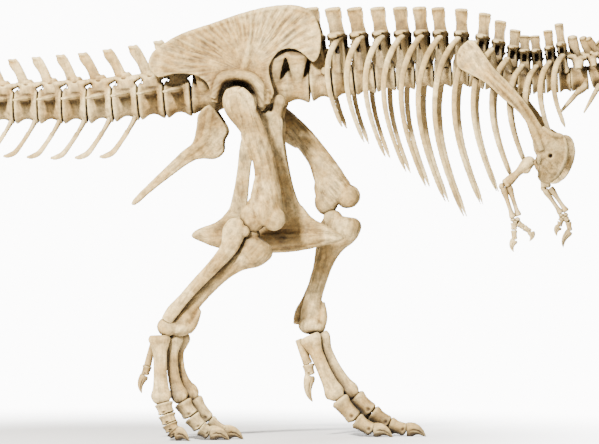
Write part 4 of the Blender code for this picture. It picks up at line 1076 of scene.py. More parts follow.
RIGHT_LEG = {
    "hip_top": (-0.115, 3.07),
    "knee": (0.175, -0.425, 1.855),
    "knuckle": 0.955,
    "shin_top": (0.115, -0.4, 1.765),
    "shin_end": (-0.6, -0.385, 0.962),
    "ankle": (-0.69, -0.385, 0.988),
    "splint": [
        (-0.08, -0.548, 1.9, 0.07), (-0.092, -0.548, 1.83, 0.102), (-0.112, -0.546, 1.75, 0.092),
        (-0.15, -0.54, 1.66, 0.074), (-0.268, -0.53, 1.522, 0.06), (-0.394, -0.52, 1.392, 0.054),
        (-0.533, -0.51, 1.239, 0.05), (-0.63, -0.5, 1.128, 0.058), (-0.69, -0.495, 1.04, 0.05),
    ],
    "digits": {
        2: ((-0.605, -0.285, 0.915), (-0.505, -0.265, 0.365), (-0.035, -0.235, 0.01)),
        3: ((-0.64, -0.375, 0.915), (-0.585, -0.375, 0.35), (-0.145, -0.4, 0.01)),
        4: ((-0.755, -0.455, 0.915), (-0.735, -0.49, 0.345), (-0.48, -0.57, 0.01)),
    },
    "spur": ((-0.82, -0.33, 0.865), (-0.885, -0.325, 0.59), (-0.955, -0.33, 0.415)),
}
LEFT_LEG = {
    "hip_top": (-0.085, 3.09),
    "knee": (0.79, 0.425, 2.06),
    "knuckle": 0.985,
    "shin_top": (0.79, 0.4, 1.955),
    "shin_end": (0.525, 0.385, 0.958),
    "ankle": (0.48, 0.385, 0.985),
    "splint": [
        (0.685, 0.548, 1.93, 0.06), (0.665, 0.548, 1.86, 0.09), (0.64, 0.546, 1.77, 0.078),
        (0.598, 0.54, 1.65, 0.058), (0.57, 0.53, 1.5, 0.05), (0.535, 0.52, 1.37, 0.047),
        (0.463, 0.51, 1.2, 0.046), (0.412, 0.5, 1.09, 0.056), (0.4, 0.49, 0.99, 0.056),
    ],
    "digits": {
        2: ((0.5, 0.285, 0.895), (0.745, 0.265, 0.35), (1.25, 0.215, 0.01)),
        3: ((0.585, 0.37, 0.905), (0.885, 0.36, 0.37), (1.54, 0.33, 0.01)),
        4: ((0.53, 0.475, 0.895), (0.835, 0.48, 0.355), (1.33, 0.51, 0.01)),
    },
    "spur": ((0.405, 0.3, 0.86), (0.515, 0.29, 0.585), (0.49, 0.28, 0.31)),
}
LEGS = {RIGHT: RIGHT_LEG, LEFT: LEFT_LEG}

# %% A shaft between two ends
def long_frame(top, bottom):
    """The bone's direction down, and forward square to it, in the side view."""
    down = (Vector(bottom) - Vector(top)).normalized()
    return down, down.cross(Vector((0, 1, 0))).normalized()


def shaft(stations, top, bottom, scale=(1.0, 1.0), rounding=6):
    """A long bone modelled upright at zero, then laid between its ends."""
    length = (Vector(bottom) - Vector(top)).length
    flat = sum(s[3] * scale[1] for s in stations) / sum(s[2] * scale[0] for s in stations)
    line = [(s[1], 0, -s[0] * length) for s in stations]
    bar = rod(line, [s[2] * scale[0] for s in stations], (1, flat, 1), steps=4, rounding=rounding)
    return lay_between(bar, top, bottom)


def lay_between(piece, top, bottom):
    down, forward = long_frame(top, bottom)
    side = (-down).cross(forward)
    turn = Matrix((forward, side, -down)).transposed().to_4x4()
    bpy.ops.object.transform_apply(location=True, rotation=True, scale=True)
    piece.data.transform(Matrix.Translation(Vector(top)) @ turn)
    return piece


def station(top, bottom, share, forward, out):
    """A place beside a long bone: a share of the way down, forward of it, and out."""
    down, ahead = long_frame(top, bottom)
    return Vector(top).lerp(Vector(bottom), share) + ahead * forward + Vector((0, out, 0))


# %% Thigh, shin and splint bone
def thigh_bone(side, places):
    top = (places["hip_top"][0], side * THIGH_OUT, places["hip_top"][1])
    end = places["knee"]
    head = Vector((HIP.x, side * HIP_HALF, HIP.z))

    def at(share, forward, out):
        return station(top, end, share, forward, side * out)

    parts = [
        shaft(FEMUR_STATIONS, top, end, rounding=8),
        knob(head, (0.112, 0.095, 0.112)),
        rod([head, (HIP.x + 0.005, side * 0.31, HIP.z - 0.01), (top[0], top[1], top[2] - 0.1)],
            [0.08, 0.08, 0.092]),
        rod([at(0.03, 0.05, 0.035), at(0.12, 0.115, 0.04), at(0.22, 0.13, 0.03)], [0.048, 0.052, 0.02]),
        rod([at(0.32, 0.0, -0.02), at(0.42, 0.005, -0.03), at(0.52, 0.02, -0.02)], [0.03, 0.044, 0.02]),
        knob(at(0.915, -0.095, 0.065), (0.108, 0.074, 0.128)),
        knob(at(0.915, -0.08, -0.07), (0.105, 0.068, 0.12)),
        knob(at(places["knuckle"], 0.085, 0.07), (0.106, 0.068, 0.106)),
        knob(at(places["knuckle"], 0.075, -0.07), (0.1, 0.064, 0.104)),
        rod([at(0.64, 0.09, 0.055), at(0.77, 0.085, 0.07), at(0.88, 0.085, 0.085)], [0.02, 0.036, 0.044]),
        rod([at(0.64, 0.03, 0.06), at(0.77, -0.03, 0.075), at(0.88, -0.075, 0.085)], [0.02, 0.036, 0.044]),
    ]
    return fuse(f"thigh_bone_{SIDE_NAMES[side]}", parts, grain=0.01, soften=3, lump=0.006)


def shin_bone(side, places):
    top, end = places["shin_top"], places["shin_end"]

    def at(share, forward, out):
        return station(top, end, share, forward, side * out)

    parts = [
        shaft(TIBIA_STATIONS, top, end, rounding=8),
        knob(at(0.035, -0.08, 0.055), (0.085, 0.062, 0.07)),
        knob(at(0.035, -0.075, -0.06), (0.085, 0.062, 0.07)),
        rod([at(0.02, 0.135, 0.0), at(0.12, 0.14, 0.015), at(0.24, 0.085, 0.03), at(0.36, 0.03, 0.03)],
            [0.045, 0.042, 0.026, 0.014], (1, 0.7, 1)),
        rod([at(0.2, -0.02, 0.075), at(0.3, -0.03, 0.078), at(0.4, -0.03, 0.066)], [0.014, 0.02, 0.012]),
        knob(Vector(places["ankle"]) + Vector((0, side * 0.07, 0)), (0.088, 0.058, 0.084)),
        knob(Vector(places["ankle"]) + Vector((0.03, side * -0.052, 0)), (0.096, 0.056, 0.08)),
        knob(Vector(end) + Vector((0.01, 0, 0.012)), (0.11, 0.112, 0.074)),
        rod([at(0.955, 0.052, 0.0), at(0.88, 0.058, 0.0), at(0.76, 0.03, 0.01)], [0.06, 0.05, 0.02],
            (1, 1.2, 1)),
    ]
    return fuse(f"shin_bone_{SIDE_NAMES[side]}", parts, grain=0.0095, soften=3, lump=0.005)


def splint_bone(side, places):
    line = places["splint"]
    head = Vector(line[0][:3])
    parts = [
        rod([p[:3] for p in line], [p[3] for p in line], (1, 0.52, 1), steps=4, rounding=6),
        knob(head + Vector((-0.005, 0, -0.02)), (0.078, 0.04, 0.058)),
        knob(head + Vector((0.07, 0, -0.08)), (0.055, 0.034, 0.052)),
        rod([line[3][:3], line[4][:3], line[5][:3]], [0.018, 0.046, 0.02], (1, 0.9, 1)),
    ]
    return fuse(f"splint_bone_{SIDE_NAMES[side]}", parts, grain=0.0075, soften=2)


for side, places in LEGS.items():
    name = SIDE_NAMES[side]
    down = Vector(places["knee"]) - Vector((places["hip_top"][0], side * THIGH_OUT, places["hip_top"][1]))
    settle(thigh_bone(side, places), "limb_bone", [f"femur_{name}"], down)
    down = Vector(places["shin_end"]) - Vector(places["shin_top"])
    settle(shin_bone(side, places), "limb_bone", [f"tibia_{name}"], down)
    settle(splint_bone(side, places), "limb_bone", [f"fibula_{name}"], down)
print(len(settled), "bones with the upper legs")

# %% [markdown]
# ## Toe bones and claws
#
# A toe bone is a short spool: hollow behind, where the bone before it turns, with two
# knuckles in front and a round pit on each side of them.  A claw is a curved cone with a
# knob below its root and a groove along each side.  One of each is modelled a metre long,
# lying along x; the copies are scaled to their places.

# %% Model a toe bone and a claw
def toe_bone_model():
    parts = [
        rod([(0.01, 0, 0.0), (0.08, 0, 0.0), (0.16, 0, 0.0), (0.36, 0, -0.01), (0.62, 0, 0.0),
             (0.84, 0, 0.0), (0.93, 0, 0)],
            [0.28, 0.34, 0.33, 0.29, 0.275, 0.29, 0.25], (1, 0.92, 1), rounding=6),
        knob((0.84, 0.115, 0.0), (0.155, 0.14, 0.265)),
        knob((0.84, -0.115, 0.0), (0.155, 0.14, 0.265)),
        knob((0.05, 0, 0.2), (0.085, 0.11, 0.085)),
        knob((0.07, 0.12, -0.19), (0.09, 0.1, 0.085)),
        knob((0.07, -0.12, -0.19), (0.09, 0.1, 0.085)),
    ]
    bone = fuse("toe_bone_model", parts, grain=0.036, soften=2, lump=0.0)

    def pits(p):
        far = np.hypot((p[:, 0] - 0.8) / 0.085, p[:, 2] / 0.085)
        y = p[:, 1] * (1 - 0.3 * np.exp(-(far**2)))
        return np.column_stack([p[:, 0], y, p[:, 2]])

    thin_out(bone, 0.7)
    return reshape(bone, pits)


def claw_model():
    line = [(0.0, 0, 0.0), (0.12, 0, 0.02), (0.35, 0, 0.055), (0.6, 0, 0.02), (0.82, 0, -0.1),
            (1.0, 0, -0.27)]
    parts = [
        rod(line, [0.27, 0.3, 0.255, 0.185, 0.11, 0.026], (1, 0.66, 1), rounding=6),
        knob((0.1, 0, -0.16), (0.11, 0.1, 0.085)),
        knob((0.03, 0, 0.16), (0.07, 0.08, 0.06)),
    ]
    bone = fuse("claw_model", parts, grain=0.03, soften=1, lump=0.0)

    def grooves(p):
        line_z = np.interp(p[:, 0], [c[0] for c in line], [c[2] for c in line])
        along = np.clip((p[:, 0] - 0.15) / 0.2, 0, 1)
        deep = 0.35 * np.exp(-(((p[:, 2] - line_z + 0.02) / 0.022) ** 2)) * along
        return np.column_stack([p[:, 0], p[:, 1] * (1 - deep), p[:, 2]])

    return reshape(bone, grooves)


toe_model = toe_bone_model()
claw = claw_model()


def lay_digit_bone(model, name, start, end, thick, tilt=0.0):
    """A copy from start to end; thick is its half height in metres over the model's."""
    start, end = Vector(start), Vector(end)
    along = (end - start).normalized()
    across = Vector((0, 0, 1)).cross(along).normalized()
    high = along.cross(across)
    turn = Matrix((along, across, high)).transposed().to_4x4()
    size = Matrix.Diagonal(((end - start).length, thick, thick, 1))
    return copy_of(model, name, Matrix.Translation(start) @ turn @ Matrix.Rotation(tilt, 4, "Y") @ size)


print("a toe bone has", len(toe_model.data.polygons), "faces, a claw", len(claw.data.polygons))

# %% Set out the feet
TOE_LOW, CLAW_LENGTH = 0.052, 0.175
TOE_ROOT_DROP = 0.018
SPUR_SIZES = {RIGHT: 1.0, LEFT: 1.3}


def toe_places(start, tip, digit):
    """The joints of a toe from its root to the claw, arching down to the floor."""
    start, tip = Vector(start), Vector(tip)
    along = Vector((tip.x - start.x, tip.y - start.y, 0))
    first = start + along.normalized() * 0.022 - Vector((0, 0, TOE_ROOT_DROP))
    claw_root = tip - along.normalized() * min(CLAW_LENGTH, along.length * 0.48)
    joints = []
    for i in range(digit + 1):
        share = i / digit
        place = first.lerp(Vector((claw_root.x, claw_root.y, first.z)), share)
        place.z = TOE_LOW + (first.z - TOE_LOW) * (1 - share) ** 1.55
        joints.append(place)
    return joints


def on_floor(piece):
    """Presses what would sink into the floor flat against it."""
    return reshape(piece, lambda p: np.column_stack([p[:, 0], p[:, 1], np.maximum(p[:, 2], 0.0)]))


for side, places in LEGS.items():
    name = SIDE_NAMES[side]
    for digit, (root, head_place, tip) in places["digits"].items():
        pinch = 0.86 if digit == 3 else 1.0
        upright = [
            shaft([(s, f * METATARSAL_BOW[side][digit], d, w) for s, f, d, w in METATARSAL_STATIONS],
                  root, head_place, (0.07 * pinch, 0.05), rounding=6),
            knob(station(root, head_place, 0.955, 0.0, 0.03), (0.08 * pinch, 0.032, 0.062)),
            knob(station(root, head_place, 0.955, 0.0, -0.03), (0.08 * pinch, 0.032, 0.062)),
        ]
        bone = fuse(f"foot_bone_{digit}_{name}", upright, grain=0.0075, soften=2, lump=0.004)
        settle(bone, "limb_bone", [f"metatarsal_{digit}_{name}"], Vector(head_place) - Vector(root))
        joints = toe_places(head_place, tip, digit)
        node = [f"toe_{digit}_{name}"]
        for i in range(digit):
            taper = mix(1.0, 0.76, i / digit)
            bone = lay_digit_bone(toe_model, f"toe_{digit}_bone_{i}_{name}", joints[i], joints[i + 1],
                                  0.25 * taper)
            settle(on_floor(bone), "toe_bone", node, joints[i + 1] - joints[i])
        claw_end = Vector((tip[0], tip[1], joints[-1].z))
        bone = lay_digit_bone(claw, f"toe_{digit}_claw_{name}", joints[-1], claw_end, 0.235)
        settle(on_floor(bone), "toe_bone", node, claw_end - joints[-1])
    upper, joint, tip = (Vector(p) for p in places["spur"])
    node = [f"toe_1_{name}"]
    thick = SPUR_SIZES[side]
    splinter = rod([upper, upper.lerp(joint, 0.4), upper.lerp(joint, 0.8)],
                   [0.024 * thick, 0.03 * thick, 0.034 * thick], (1, 0.85, 1))
    settle(fuse(f"spur_foot_bone_{name}", [splinter], grain=0.006, soften=1, lump=0.0), "toe_bone",
           node, joint - upper)
    bone = lay_digit_bone(toe_model, f"spur_bone_{name}", upper.lerp(joint, 0.8), joint.lerp(tip, 0.16),
                          0.125 * thick)
    settle(bone, "toe_bone", node, joint - upper)
    bone = lay_digit_bone(claw, f"spur_claw_{name}", joint.lerp(tip, 0.17), tip, 0.135 * thick)
    settle(bone, "toe_bone", node, tip - joint)
print(len(settled), "bones with the feet")

# %% [markdown]
# ## Shoulders and arms
#
# The shoulder blade is a long strap that widens into the round coracoid in front, where
# the small arm hinges.  It follows the bow of the ribs.  The arm has the same parts as a
# leg, but small: one upper bone, two side by side, and a hand of two clawed fingers.

# %% The shoulder blade
SCAPULA = [
    (1.84, 3.37), (1.9, 3.45), (1.97, 3.48), (2.04, 3.4), (2.17, 3.22), (2.32, 3.07),
    (2.48, 2.87), (2.57, 2.73), (2.63, 2.665), (2.72, 2.675), (2.78, 2.63), (2.8, 2.53),
    (2.77, 2.41), (2.69, 2.27), (2.6, 2.235), (2.53, 2.29), (2.555, 2.42), (2.5, 2.52),
    (2.475, 2.68), (2.38, 2.84), (2.24, 2.96), (2.09, 3.1), (1.94, 3.185), (1.845, 3.245),
]
CORACOID_HOLE = (2.645, 2.475)


def shoulder_out(x, z):
    """How far out the shoulder blade lies: it follows the ribs and turns in at the front."""
    down = ((x - 1.86) * 0.62 + (3.4 - z) * 0.78) / 1.39
    return 0.452 + 0.46 * down - 0.645 * down**2


def shoulder_blade(side, shift):
    strap = plate(SCAPULA, 0.036, rim=0.6)
    spine = rod([(1.93, -0.004, 3.31), (2.12, -0.006, 3.16), (2.34, -0.008, 2.95), (2.5, -0.01, 2.7),
                 (2.57, -0.01, 2.52)],
                [0.014, 0.022, 0.026, 0.03, 0.03], (1, 0.8, 1))
    shelf = rod([(2.58, -0.006, 2.72), (2.66, -0.01, 2.66), (2.74, -0.008, 2.64)], [0.016, 0.024, 0.018])
    socket = knob((2.545, -0.002, 2.44), (0.03, 0.034, 0.055))
    lip = rod([(2.62, -0.004, 2.26), (2.7, -0.006, 2.3), (2.765, -0.006, 2.42), (2.785, -0.006, 2.53),
               (2.765, -0.006, 2.62)],
              [0.014, 0.02, 0.02, 0.02, 0.016])
    end = rod([(1.87, -0.002, 3.27), (1.89, -0.002, 3.38), (1.95, -0.002, 3.45)], [0.016, 0.02, 0.016])
    bone = fuse(f"shoulder_blade_{SIDE_NAMES[side]}", [strap, spine, shelf, socket, lip, end],
                grain=0.007, soften=2)

    def shape(p):
        x, y, z = p[:, 0], p[:, 1], p[:, 2]
        hole = np.exp(-(((x - CORACOID_HOLE[0]) ** 2 + (z - CORACOID_HOLE[1]) ** 2) / 0.018**2) ** 2)
        y = np.where(y < 0, y + 0.03 * hole, y)
        return np.column_stack([x + shift, -side * y + side * shoulder_out(x, z), z])

    return reshape_blade(bone, side, shape)


# %% Arm bones
RIGHT_ARM = {
    "shoulder_shift": 0.0,
    "shoulder": (2.475, -0.435, 2.432),
    "elbow": (2.255, -0.47, 2.225),
    "wrist": (2.345, -0.45, 1.945),
    "fingers": [
        [(2.33, -0.45, 1.83), (2.335, -0.45, 1.745), (2.345, -0.45, 1.7), (2.3, -0.45, 1.65)],
        [(2.415, -0.43, 1.855), (2.475, -0.425, 1.815), (2.508, -0.423, 1.775), (2.49, -0.421, 1.738)],
    ],
}
LEFT_ARM = {
    "shoulder_shift": 0.055,
    "shoulder": (2.54, 0.44, 2.44),
    "elbow": (2.6, 0.45, 2.215),
    "wrist": (2.755, 0.43, 1.985),
    "fingers": [
        [(2.725, 0.43, 1.905), (2.715, 0.43, 1.86), (2.708, 0.43, 1.83), (2.67, 0.43, 1.79)],
        [(2.795, 0.41, 1.9), (2.81, 0.405, 1.82), (2.8, 0.403, 1.755), (2.725, 0.401, 1.69)],
    ],
}


def upper_arm(side, shoulder, elbow):
    def at(share, forward, out):
        return station(shoulder, elbow, share, forward, side * out)

    parts = [
        rod([at(s, 0, 0) for s in (0, 0.2, 0.5, 0.82, 1.0)], [0.05, 0.056, 0.034, 0.044, 0.038],
            (1, 0.9, 1)),
        knob(at(0.03, -0.012, 0.0), (0.05, 0.044, 0.038)),
        rod([at(0.14, 0.034, 0.012), at(0.28, 0.046, 0.016), at(0.42, 0.02, 0.01)], [0.018, 0.022, 0.01]),
        knob(at(0.96, 0.016, 0.0), (0.03, 0.04, 0.026)),
        knob(at(0.94, -0.02, 0.0), (0.028, 0.036, 0.026)),
    ]
    return fuse(f"upper_arm_{SIDE_NAMES[side]}", parts, grain=0.005, soften=2, lump=0.002)


def fore_arm(side, elbow, wrist):
    made = {}
    for bone_name, apart in (("ulna", -0.024), ("radius", 0.024)):
        offset = Vector((apart, side * -0.2 * apart, apart * 0.35))
        top = elbow + (wrist - elbow).normalized() * 0.022 + offset
        end = wrist + offset
        line = [top] + [top.lerp(end, share) for share in (0.12, 0.4, 0.75, 0.94)] + [end]
        parts = [rod(line, [0.026, 0.031, 0.021, 0.02, 0.03, 0.024])]
        if bone_name == "ulna":
            parts.append(knob(top + Vector((-0.014, 0, 0.014)), (0.026, 0.022, 0.03)))
        made[bone_name] = fuse(f"{bone_name}_bone_{SIDE_NAMES[side]}", parts, grain=0.004, soften=1,
                               lump=0.001)
    return made


for side, places in ((RIGHT, RIGHT_ARM), (LEFT, LEFT_ARM)):
    name = SIDE_NAMES[side]
    blade = shoulder_blade(side, places["shoulder_shift"])
    settle(blade, "limb_bone", [f"scapula_{name}"], Vector((0.62, 0, -0.78)))
    shoulder, elbow, wrist = (Vector(places[k]) for k in ("shoulder", "elbow", "wrist"))
    settle(upper_arm(side, shoulder, elbow), "limb_bone", [f"humerus_{name}"], elbow - shoulder)
    for bone_name, bone in fore_arm(side, elbow, wrist).items():
        settle(bone, "limb_bone", [f"{bone_name}_{name}"], wrist - elbow)
    node = [f"hand_{name}"]
    for n, (dx, dz) in enumerate(((-0.024, -0.024), (0.016, -0.02), (-0.004, -0.046))):
        pebble = fuse(f"wrist_bone_{n}_{name}", [knob(wrist + Vector((dx, 0, dz)), (0.024, 0.024, 0.02))],
                      grain=0.004, soften=1, lump=0.003)
        settle(pebble, "limb_bone", node, UP)
    for f, finger in enumerate(places["fingers"]):
        joints = [wrist + Vector((-0.014 + 0.03 * f, 0, -0.052))] + [Vector(p) for p in finger]
        for i, thick in enumerate((0.094, 0.086)):
            bone = lay_digit_bone(toe_model, f"finger_{f}_bone_{i}_{name}", joints[i], joints[i + 1], thick)
            settle(bone, "toe_bone", node, joints[i + 1] - joints[i])
        bone = lay_digit_bone(claw, f"finger_{f}_claw_{name}", joints[2], joints[4], 0.115)
        settle(bone, "toe_bone", node, joints[4] - joints[2])
print(len(settled), "bones with the arms")

# %% [markdown]
# ## The skull's form
#
# The skull is a light box of struts: a high narrow snout that widens to a broad hind part,
# with windows for the nostril, the snout's air sacs, the eye and the jaw's muscles.  It is
# drawn in its own coordinates, forward from its hind end and up from the tooth row.
# Cross-sections give its width, its roof and its vaulted palate.

# %% Sections of the skull
SKULL_TOP = [
    (0.0, 0.4), (0.1, 0.565), (0.24, 0.555), (0.38, 0.525), (0.47, 0.5), (0.56, 0.515),
    (0.68, 0.47), (0.86, 0.435), (1.04, 0.4), (1.2, 0.34), (1.32, 0.245), (1.4, 0.11),
]
SKULL_LOW = [
    (0.0, -0.02), (0.1, -0.055), (0.24, -0.03), (0.38, -0.045), (0.47, -0.05), (0.56, -0.005),
    (0.68, -0.01), (0.86, -0.045), (1.04, -0.06), (1.2, -0.03), (1.32, 0.005), (1.4, 0.01),
]
SKULL_HALF_WIDTH = [0.375, 0.41, 0.4, 0.365, 0.325, 0.27, 0.225, 0.2, 0.185, 0.165, 0.13, 0.07]
SKULL_ROOF_SHARE = [0.55, 0.55, 0.6, 0.66, 0.72, 0.72, 0.55, 0.5, 0.5, 0.55, 0.62, 0.7]
SKULL_WALL = 0.024
SAMPLES = 221

tops, lows = through(SKULL_TOP, SAMPLES), through(SKULL_LOW, SAMPLES)
halves = through([(w, 0) for w in SKULL_HALF_WIDTH], SAMPLES)
roofs = through([(w, 0) for w in SKULL_ROOF_SHARE], SAMPLES)
skull_x = [p.x for p in tops]


def half_section(roof):
    """One side of a section, from the middle of the palate to the middle of the roof."""
    return [
        (0.0, 0.115), (0.4, 0.1), (0.68, 0.035), (0.86, 0.0), (0.965, 0.05), (1.0, 0.25),
        (mix(1, roof, 0.35), 0.58), (roof, 0.88), (roof * 0.62, 0.975), (0.0, 1.0),
    ]


def skull_rings(wall, first, last, count):
    rings = []
    for i in range(count):
        at = mix(first, last, i / (count - 1))
        n = round(at * (SAMPLES - 1))
        x, top, low = tops[n].x, tops[n].y - wall, lows[n].y + wall
        half = halves[n].x - wall
        corners = through(half_section(roofs[n].x), 19)
        ring = []
        for side in (1, -1):
            for w, h in corners if side == 1 else list(reversed(corners))[1:-1]:
                hollow = 0.11 * (1 - w * w) * max(0.0, 1 - 4 * at) * (1 - h)
                notch = 0.055 * math.sin(math.pi * min(1.0, h * 1.1)) * max(0.0, 1 - 5 * at)
                ring.append((x + hollow + notch, side * half * w, low + (top - low) * h))
        rings.append(ring)
    return rings


def skull_at(x, line, axis):
    """What one of the skull's smooth lines says at x."""
    return float(np.interp(x, skull_x, [p[axis] for p in line]))


def skull_side(x, z):
    """Half the skull's width at a place in the side view."""
    top, low = skull_at(x, tops, 1), skull_at(x, lows, 1)
    half = skull_at(x, halves, 0)
    wall = half_section(skull_at(x, roofs, 0))[3:]
    return float(half * np.interp((z - low) / (top - low), [h for _, h in wall], [w for w, _ in wall]))


print("the skull is", SKULL_TOP[-1][0], "m long and", 2 * max(SKULL_HALF_WIDTH), "m wide")

# %% [markdown]
# ## Windows, rims and seams of the skull
#
# The shell is an outer loft less an inner one.  Each window is a plate that a Boolean takes
# away from both sides at once, and a thin rod laid round its edge makes the lip.  Knobs
# give the rough bumps on the nose, over the eyes and on the cheeks.  The seams between the
# skull's bones are grooves, pressed in by moving the corners near a line.

# %% Outlines of the windows
WINDOWS = {
    "nostril": [(1.195, 0.215), (1.235, 0.24), (1.295, 0.212), (1.332, 0.165), (1.3, 0.135), (1.24, 0.155)],
    "front_hole": [(0.945, 0.13), (0.985, 0.168), (1.025, 0.13), (0.99, 0.088)],
    "snout_window": [(0.655, 0.27), (0.69, 0.335), (0.775, 0.3), (0.88, 0.232), (0.925, 0.165),
                     (0.885, 0.1), (0.79, 0.08), (0.695, 0.1)],
    "eye_socket": [(0.405, 0.375), (0.43, 0.425), (0.49, 0.432), (0.545, 0.4), (0.552, 0.33), (0.535, 0.25),
                   (0.548, 0.17), (0.525, 0.115), (0.492, 0.125), (0.475, 0.19), (0.458, 0.265), (0.415,
                                                                                                  0.31)],
    "cheek_window": [(0.175, 0.385), (0.21, 0.432), (0.29, 0.435), (0.335, 0.385), (0.335, 0.29),
                     (0.312, 0.205),
                     (0.318, 0.12), (0.275, 0.068), (0.205, 0.062), (0.165, 0.105), (0.178,
                                                                                     0.18), (0.24, 0.24),
                     (0.246, 0.275), (0.19, 0.315)],
}
SEAMS = [
    [(1.205, 0.0), (1.195, 0.09), (1.165, 0.2)],
    [(1.185, 0.25), (1.05, 0.29), (0.9, 0.33), (0.72, 0.375), (0.64, 0.43)],
    [(0.72, 0.05), (0.64, 0.06), (0.56, 0.02), (0.48, -0.02)],
    [(0.555, 0.13), (0.61, 0.115), (0.655, 0.16)],
    [(0.47, 0.23), (0.42, 0.17), (0.35, 0.09)],
    [(0.3, 0.05), (0.21, 0.02), (0.11, 0.03)],
    [(0.35, 0.445), (0.29, 0.46), (0.19, 0.47)],
    [(0.6, 0.51), (0.57, 0.45), (0.555, 0.41)],
]


def near_line(p, line):
    """How far each place is from a line, in the side view."""
    best = np.full(len(p), 9.0)
    points = p[:, [0, 2]]
    for a, b in zip(line, line[1:]):
        a, b = np.array(a), np.array(b)
        t = np.clip(((points - a) @ (b - a)) / ((b - a) @ (b - a)), 0, 1)
        best = np.minimum(best, np.linalg.norm(points - (a + t[:, None] * (b - a)), axis=1))
    return best


def groove(p, lines, deep, wide, inward):
    """Adds grooves along lines to how far each place moves inward."""
    for line in lines:
        inward = inward + deep * np.exp(-((near_line(p, line) / wide) ** 2))
    return inward


def on_side(x, z, side, sunk=0.0):
    return (x, side * (skull_side(x, z) - sunk), z)


def window_rim(outline, side, thick):
    loop = list(outline) + [outline[0]]
    return rod([on_side(x, z, side, 0.006) for x, z in loop], [thick] * len(loop), (1, 0.9, 1), steps=4,
               rounding=3)


CUT_WIDTH = 1.4  # a cutter as wide as this passes through both sides


def take_away(piece, cutter):
    use(piece, "BOOLEAN", "cut", operation="DIFFERENCE", object=cutter)
    throw_away(cutter)


# %% The skull itself
NOSE_BUMPS = 9
# Openings in the roof, the inner nostrils and the palate: their middles and half sizes.
BLIND_HOLES = [
    ((0.235, 0.125, 0.56), (0.095, 0.085, 0.1)),
    ((0.8, 0.055, 0.0), (0.16, 0.026, 0.1)),
    ((0.42, 0.135, 0.0), (0.15, 0.055, 0.12)),
]
RIM_SIZES = {
    "nostril": 0.01, "front_hole": 0.01, "snout_window": 0.013, "eye_socket": 0.016,
    "cheek_window": 0.014,
}


def skull_bone():
    shell = loft("shell", skull_rings(0.0, 0.0, 1.0, 45))
    take_away(shell, loft("inside", skull_rings(SKULL_WALL, 0.08, 0.94, 35)))
    for outline in WINDOWS.values():
        take_away(shell, plate(outline, CUT_WIDTH, smooth_steps=4, rim=0.02))
    for side in (RIGHT, LEFT):
        for (x, y, z), sizes in BLIND_HOLES:
            take_away(shell, knob((x, side * y, z), sizes))
    parts = [shell]
    for side in (RIGHT, LEFT):
        parts += [window_rim(WINDOWS[name], side, thick) for name, thick in RIM_SIZES.items()]
        parts += [
            rod([(0.47, side * 0.255, 0.455), (0.555, side * 0.215, 0.5), (0.66, side * 0.145, 0.462)],
                [0.026, 0.038, 0.022]),
            knob(on_side(0.415, 0.445, side, 0.02), (0.05, 0.04, 0.036)),
            knob(on_side(0.37, 0.0, side, 0.01), (0.06, 0.026, 0.036)),
            rod([on_side(0.6, 0.03, side, 0.004), on_side(0.48, 0.03, side, 0.0),
                 on_side(0.34, 0.045, side, 0.0),
                 on_side(0.14, 0.05, side, 0.004)], [0.016, 0.022, 0.024, 0.018], (1, 0.8, 1)),
            rod([on_side(0.36, 0.45, side, 0.012), on_side(0.25, 0.47, side, 0.01),
                 on_side(0.12, 0.45, side, 0.012)],
                [0.022, 0.024, 0.02]),
            rod([(0.1, side * 0.36, -0.02), (0.085, side * 0.345, 0.12), (0.1, side * 0.3, 0.26)],
                [0.038, 0.026, 0.022]),
            rod([(0.085, side * 0.03, 0.365), (0.06, side * 0.16, 0.335), (0.05, side * 0.3, 0.285)],
                [0.045, 0.036, 0.028], (0.6, 1, 1)),
            rod([(0.3, side * 0.1, 0.3), (0.26, side * 0.2, 0.16), (0.14, side * 0.3, 0.03)],
                [0.022, 0.018, 0.02]),
            rod([(0.95, side * 0.03, 0.05), (0.6, side * 0.07, 0.065), (0.3, side * 0.11, 0.1),
                 (0.16, side * 0.24, 0.06)],
                [0.02, 0.024, 0.026, 0.018]),
            rod([on_side(1.16, 0.225, side, 0.006), on_side(1.02, 0.235, side, 0.004),
                 on_side(0.9, 0.275, side, 0.004),
                 on_side(0.76, 0.345, side, 0.004)], [0.008, 0.012, 0.012, 0.01]),
        ]
        for k in range(NOSE_BUMPS):
            x = mix(0.74, 1.22, k / (NOSE_BUMPS - 1))
            y = side * (0.028 + 0.012 * math.sin(k * 1.7))
            size = 0.02 + 0.007 * math.sin(k * 2.3 + side)
            parts.append(knob((x, y, skull_at(x, tops, 1) - 0.013), (size * 1.3, size, size * 0.8)))
    parts += [
        rod([(0.075, 0, 0.47), (0.16, 0, 0.545), (0.32, 0, 0.53)], [0.03, 0.022, 0.022]),
        knob((0.175, 0, 0.36), (0.13, 0.085, 0.105)),
        rod([(0.1, 0, 0.345), (0.045, 0, 0.345), (0.03, 0, 0.345)], [0.048, 0.046, 0.034]),
        knob((0.03, 0, 0.345), (0.04, 0.045, 0.04)),
        rod([(0.22, 0, 0.3), (0.16, 0, 0.2), (0.14, 0, 0.14)], [0.05, 0.04, 0.02], (1, 1.6, 1)),
    ]
    bone = fuse("skull_bone", parts, grain=0.0088, soften=2, lump=0.004)

    def finish(p):
        x, y, z = p[:, 0], p[:, 1].copy(), p[:, 2]
        fossa = np.exp(-(((x - 0.84) / 0.19) ** 4) - (((z - 0.17) / 0.125) ** 4))
        inward = groove(p, SEAMS, 0.0065, 0.0075, 0.01 * fossa)
        outer = abs(y) > 0.07
        return np.column_stack([x, np.where(outer, y - np.sign(y) * inward, y), z])

    return reshape(bone, finish)


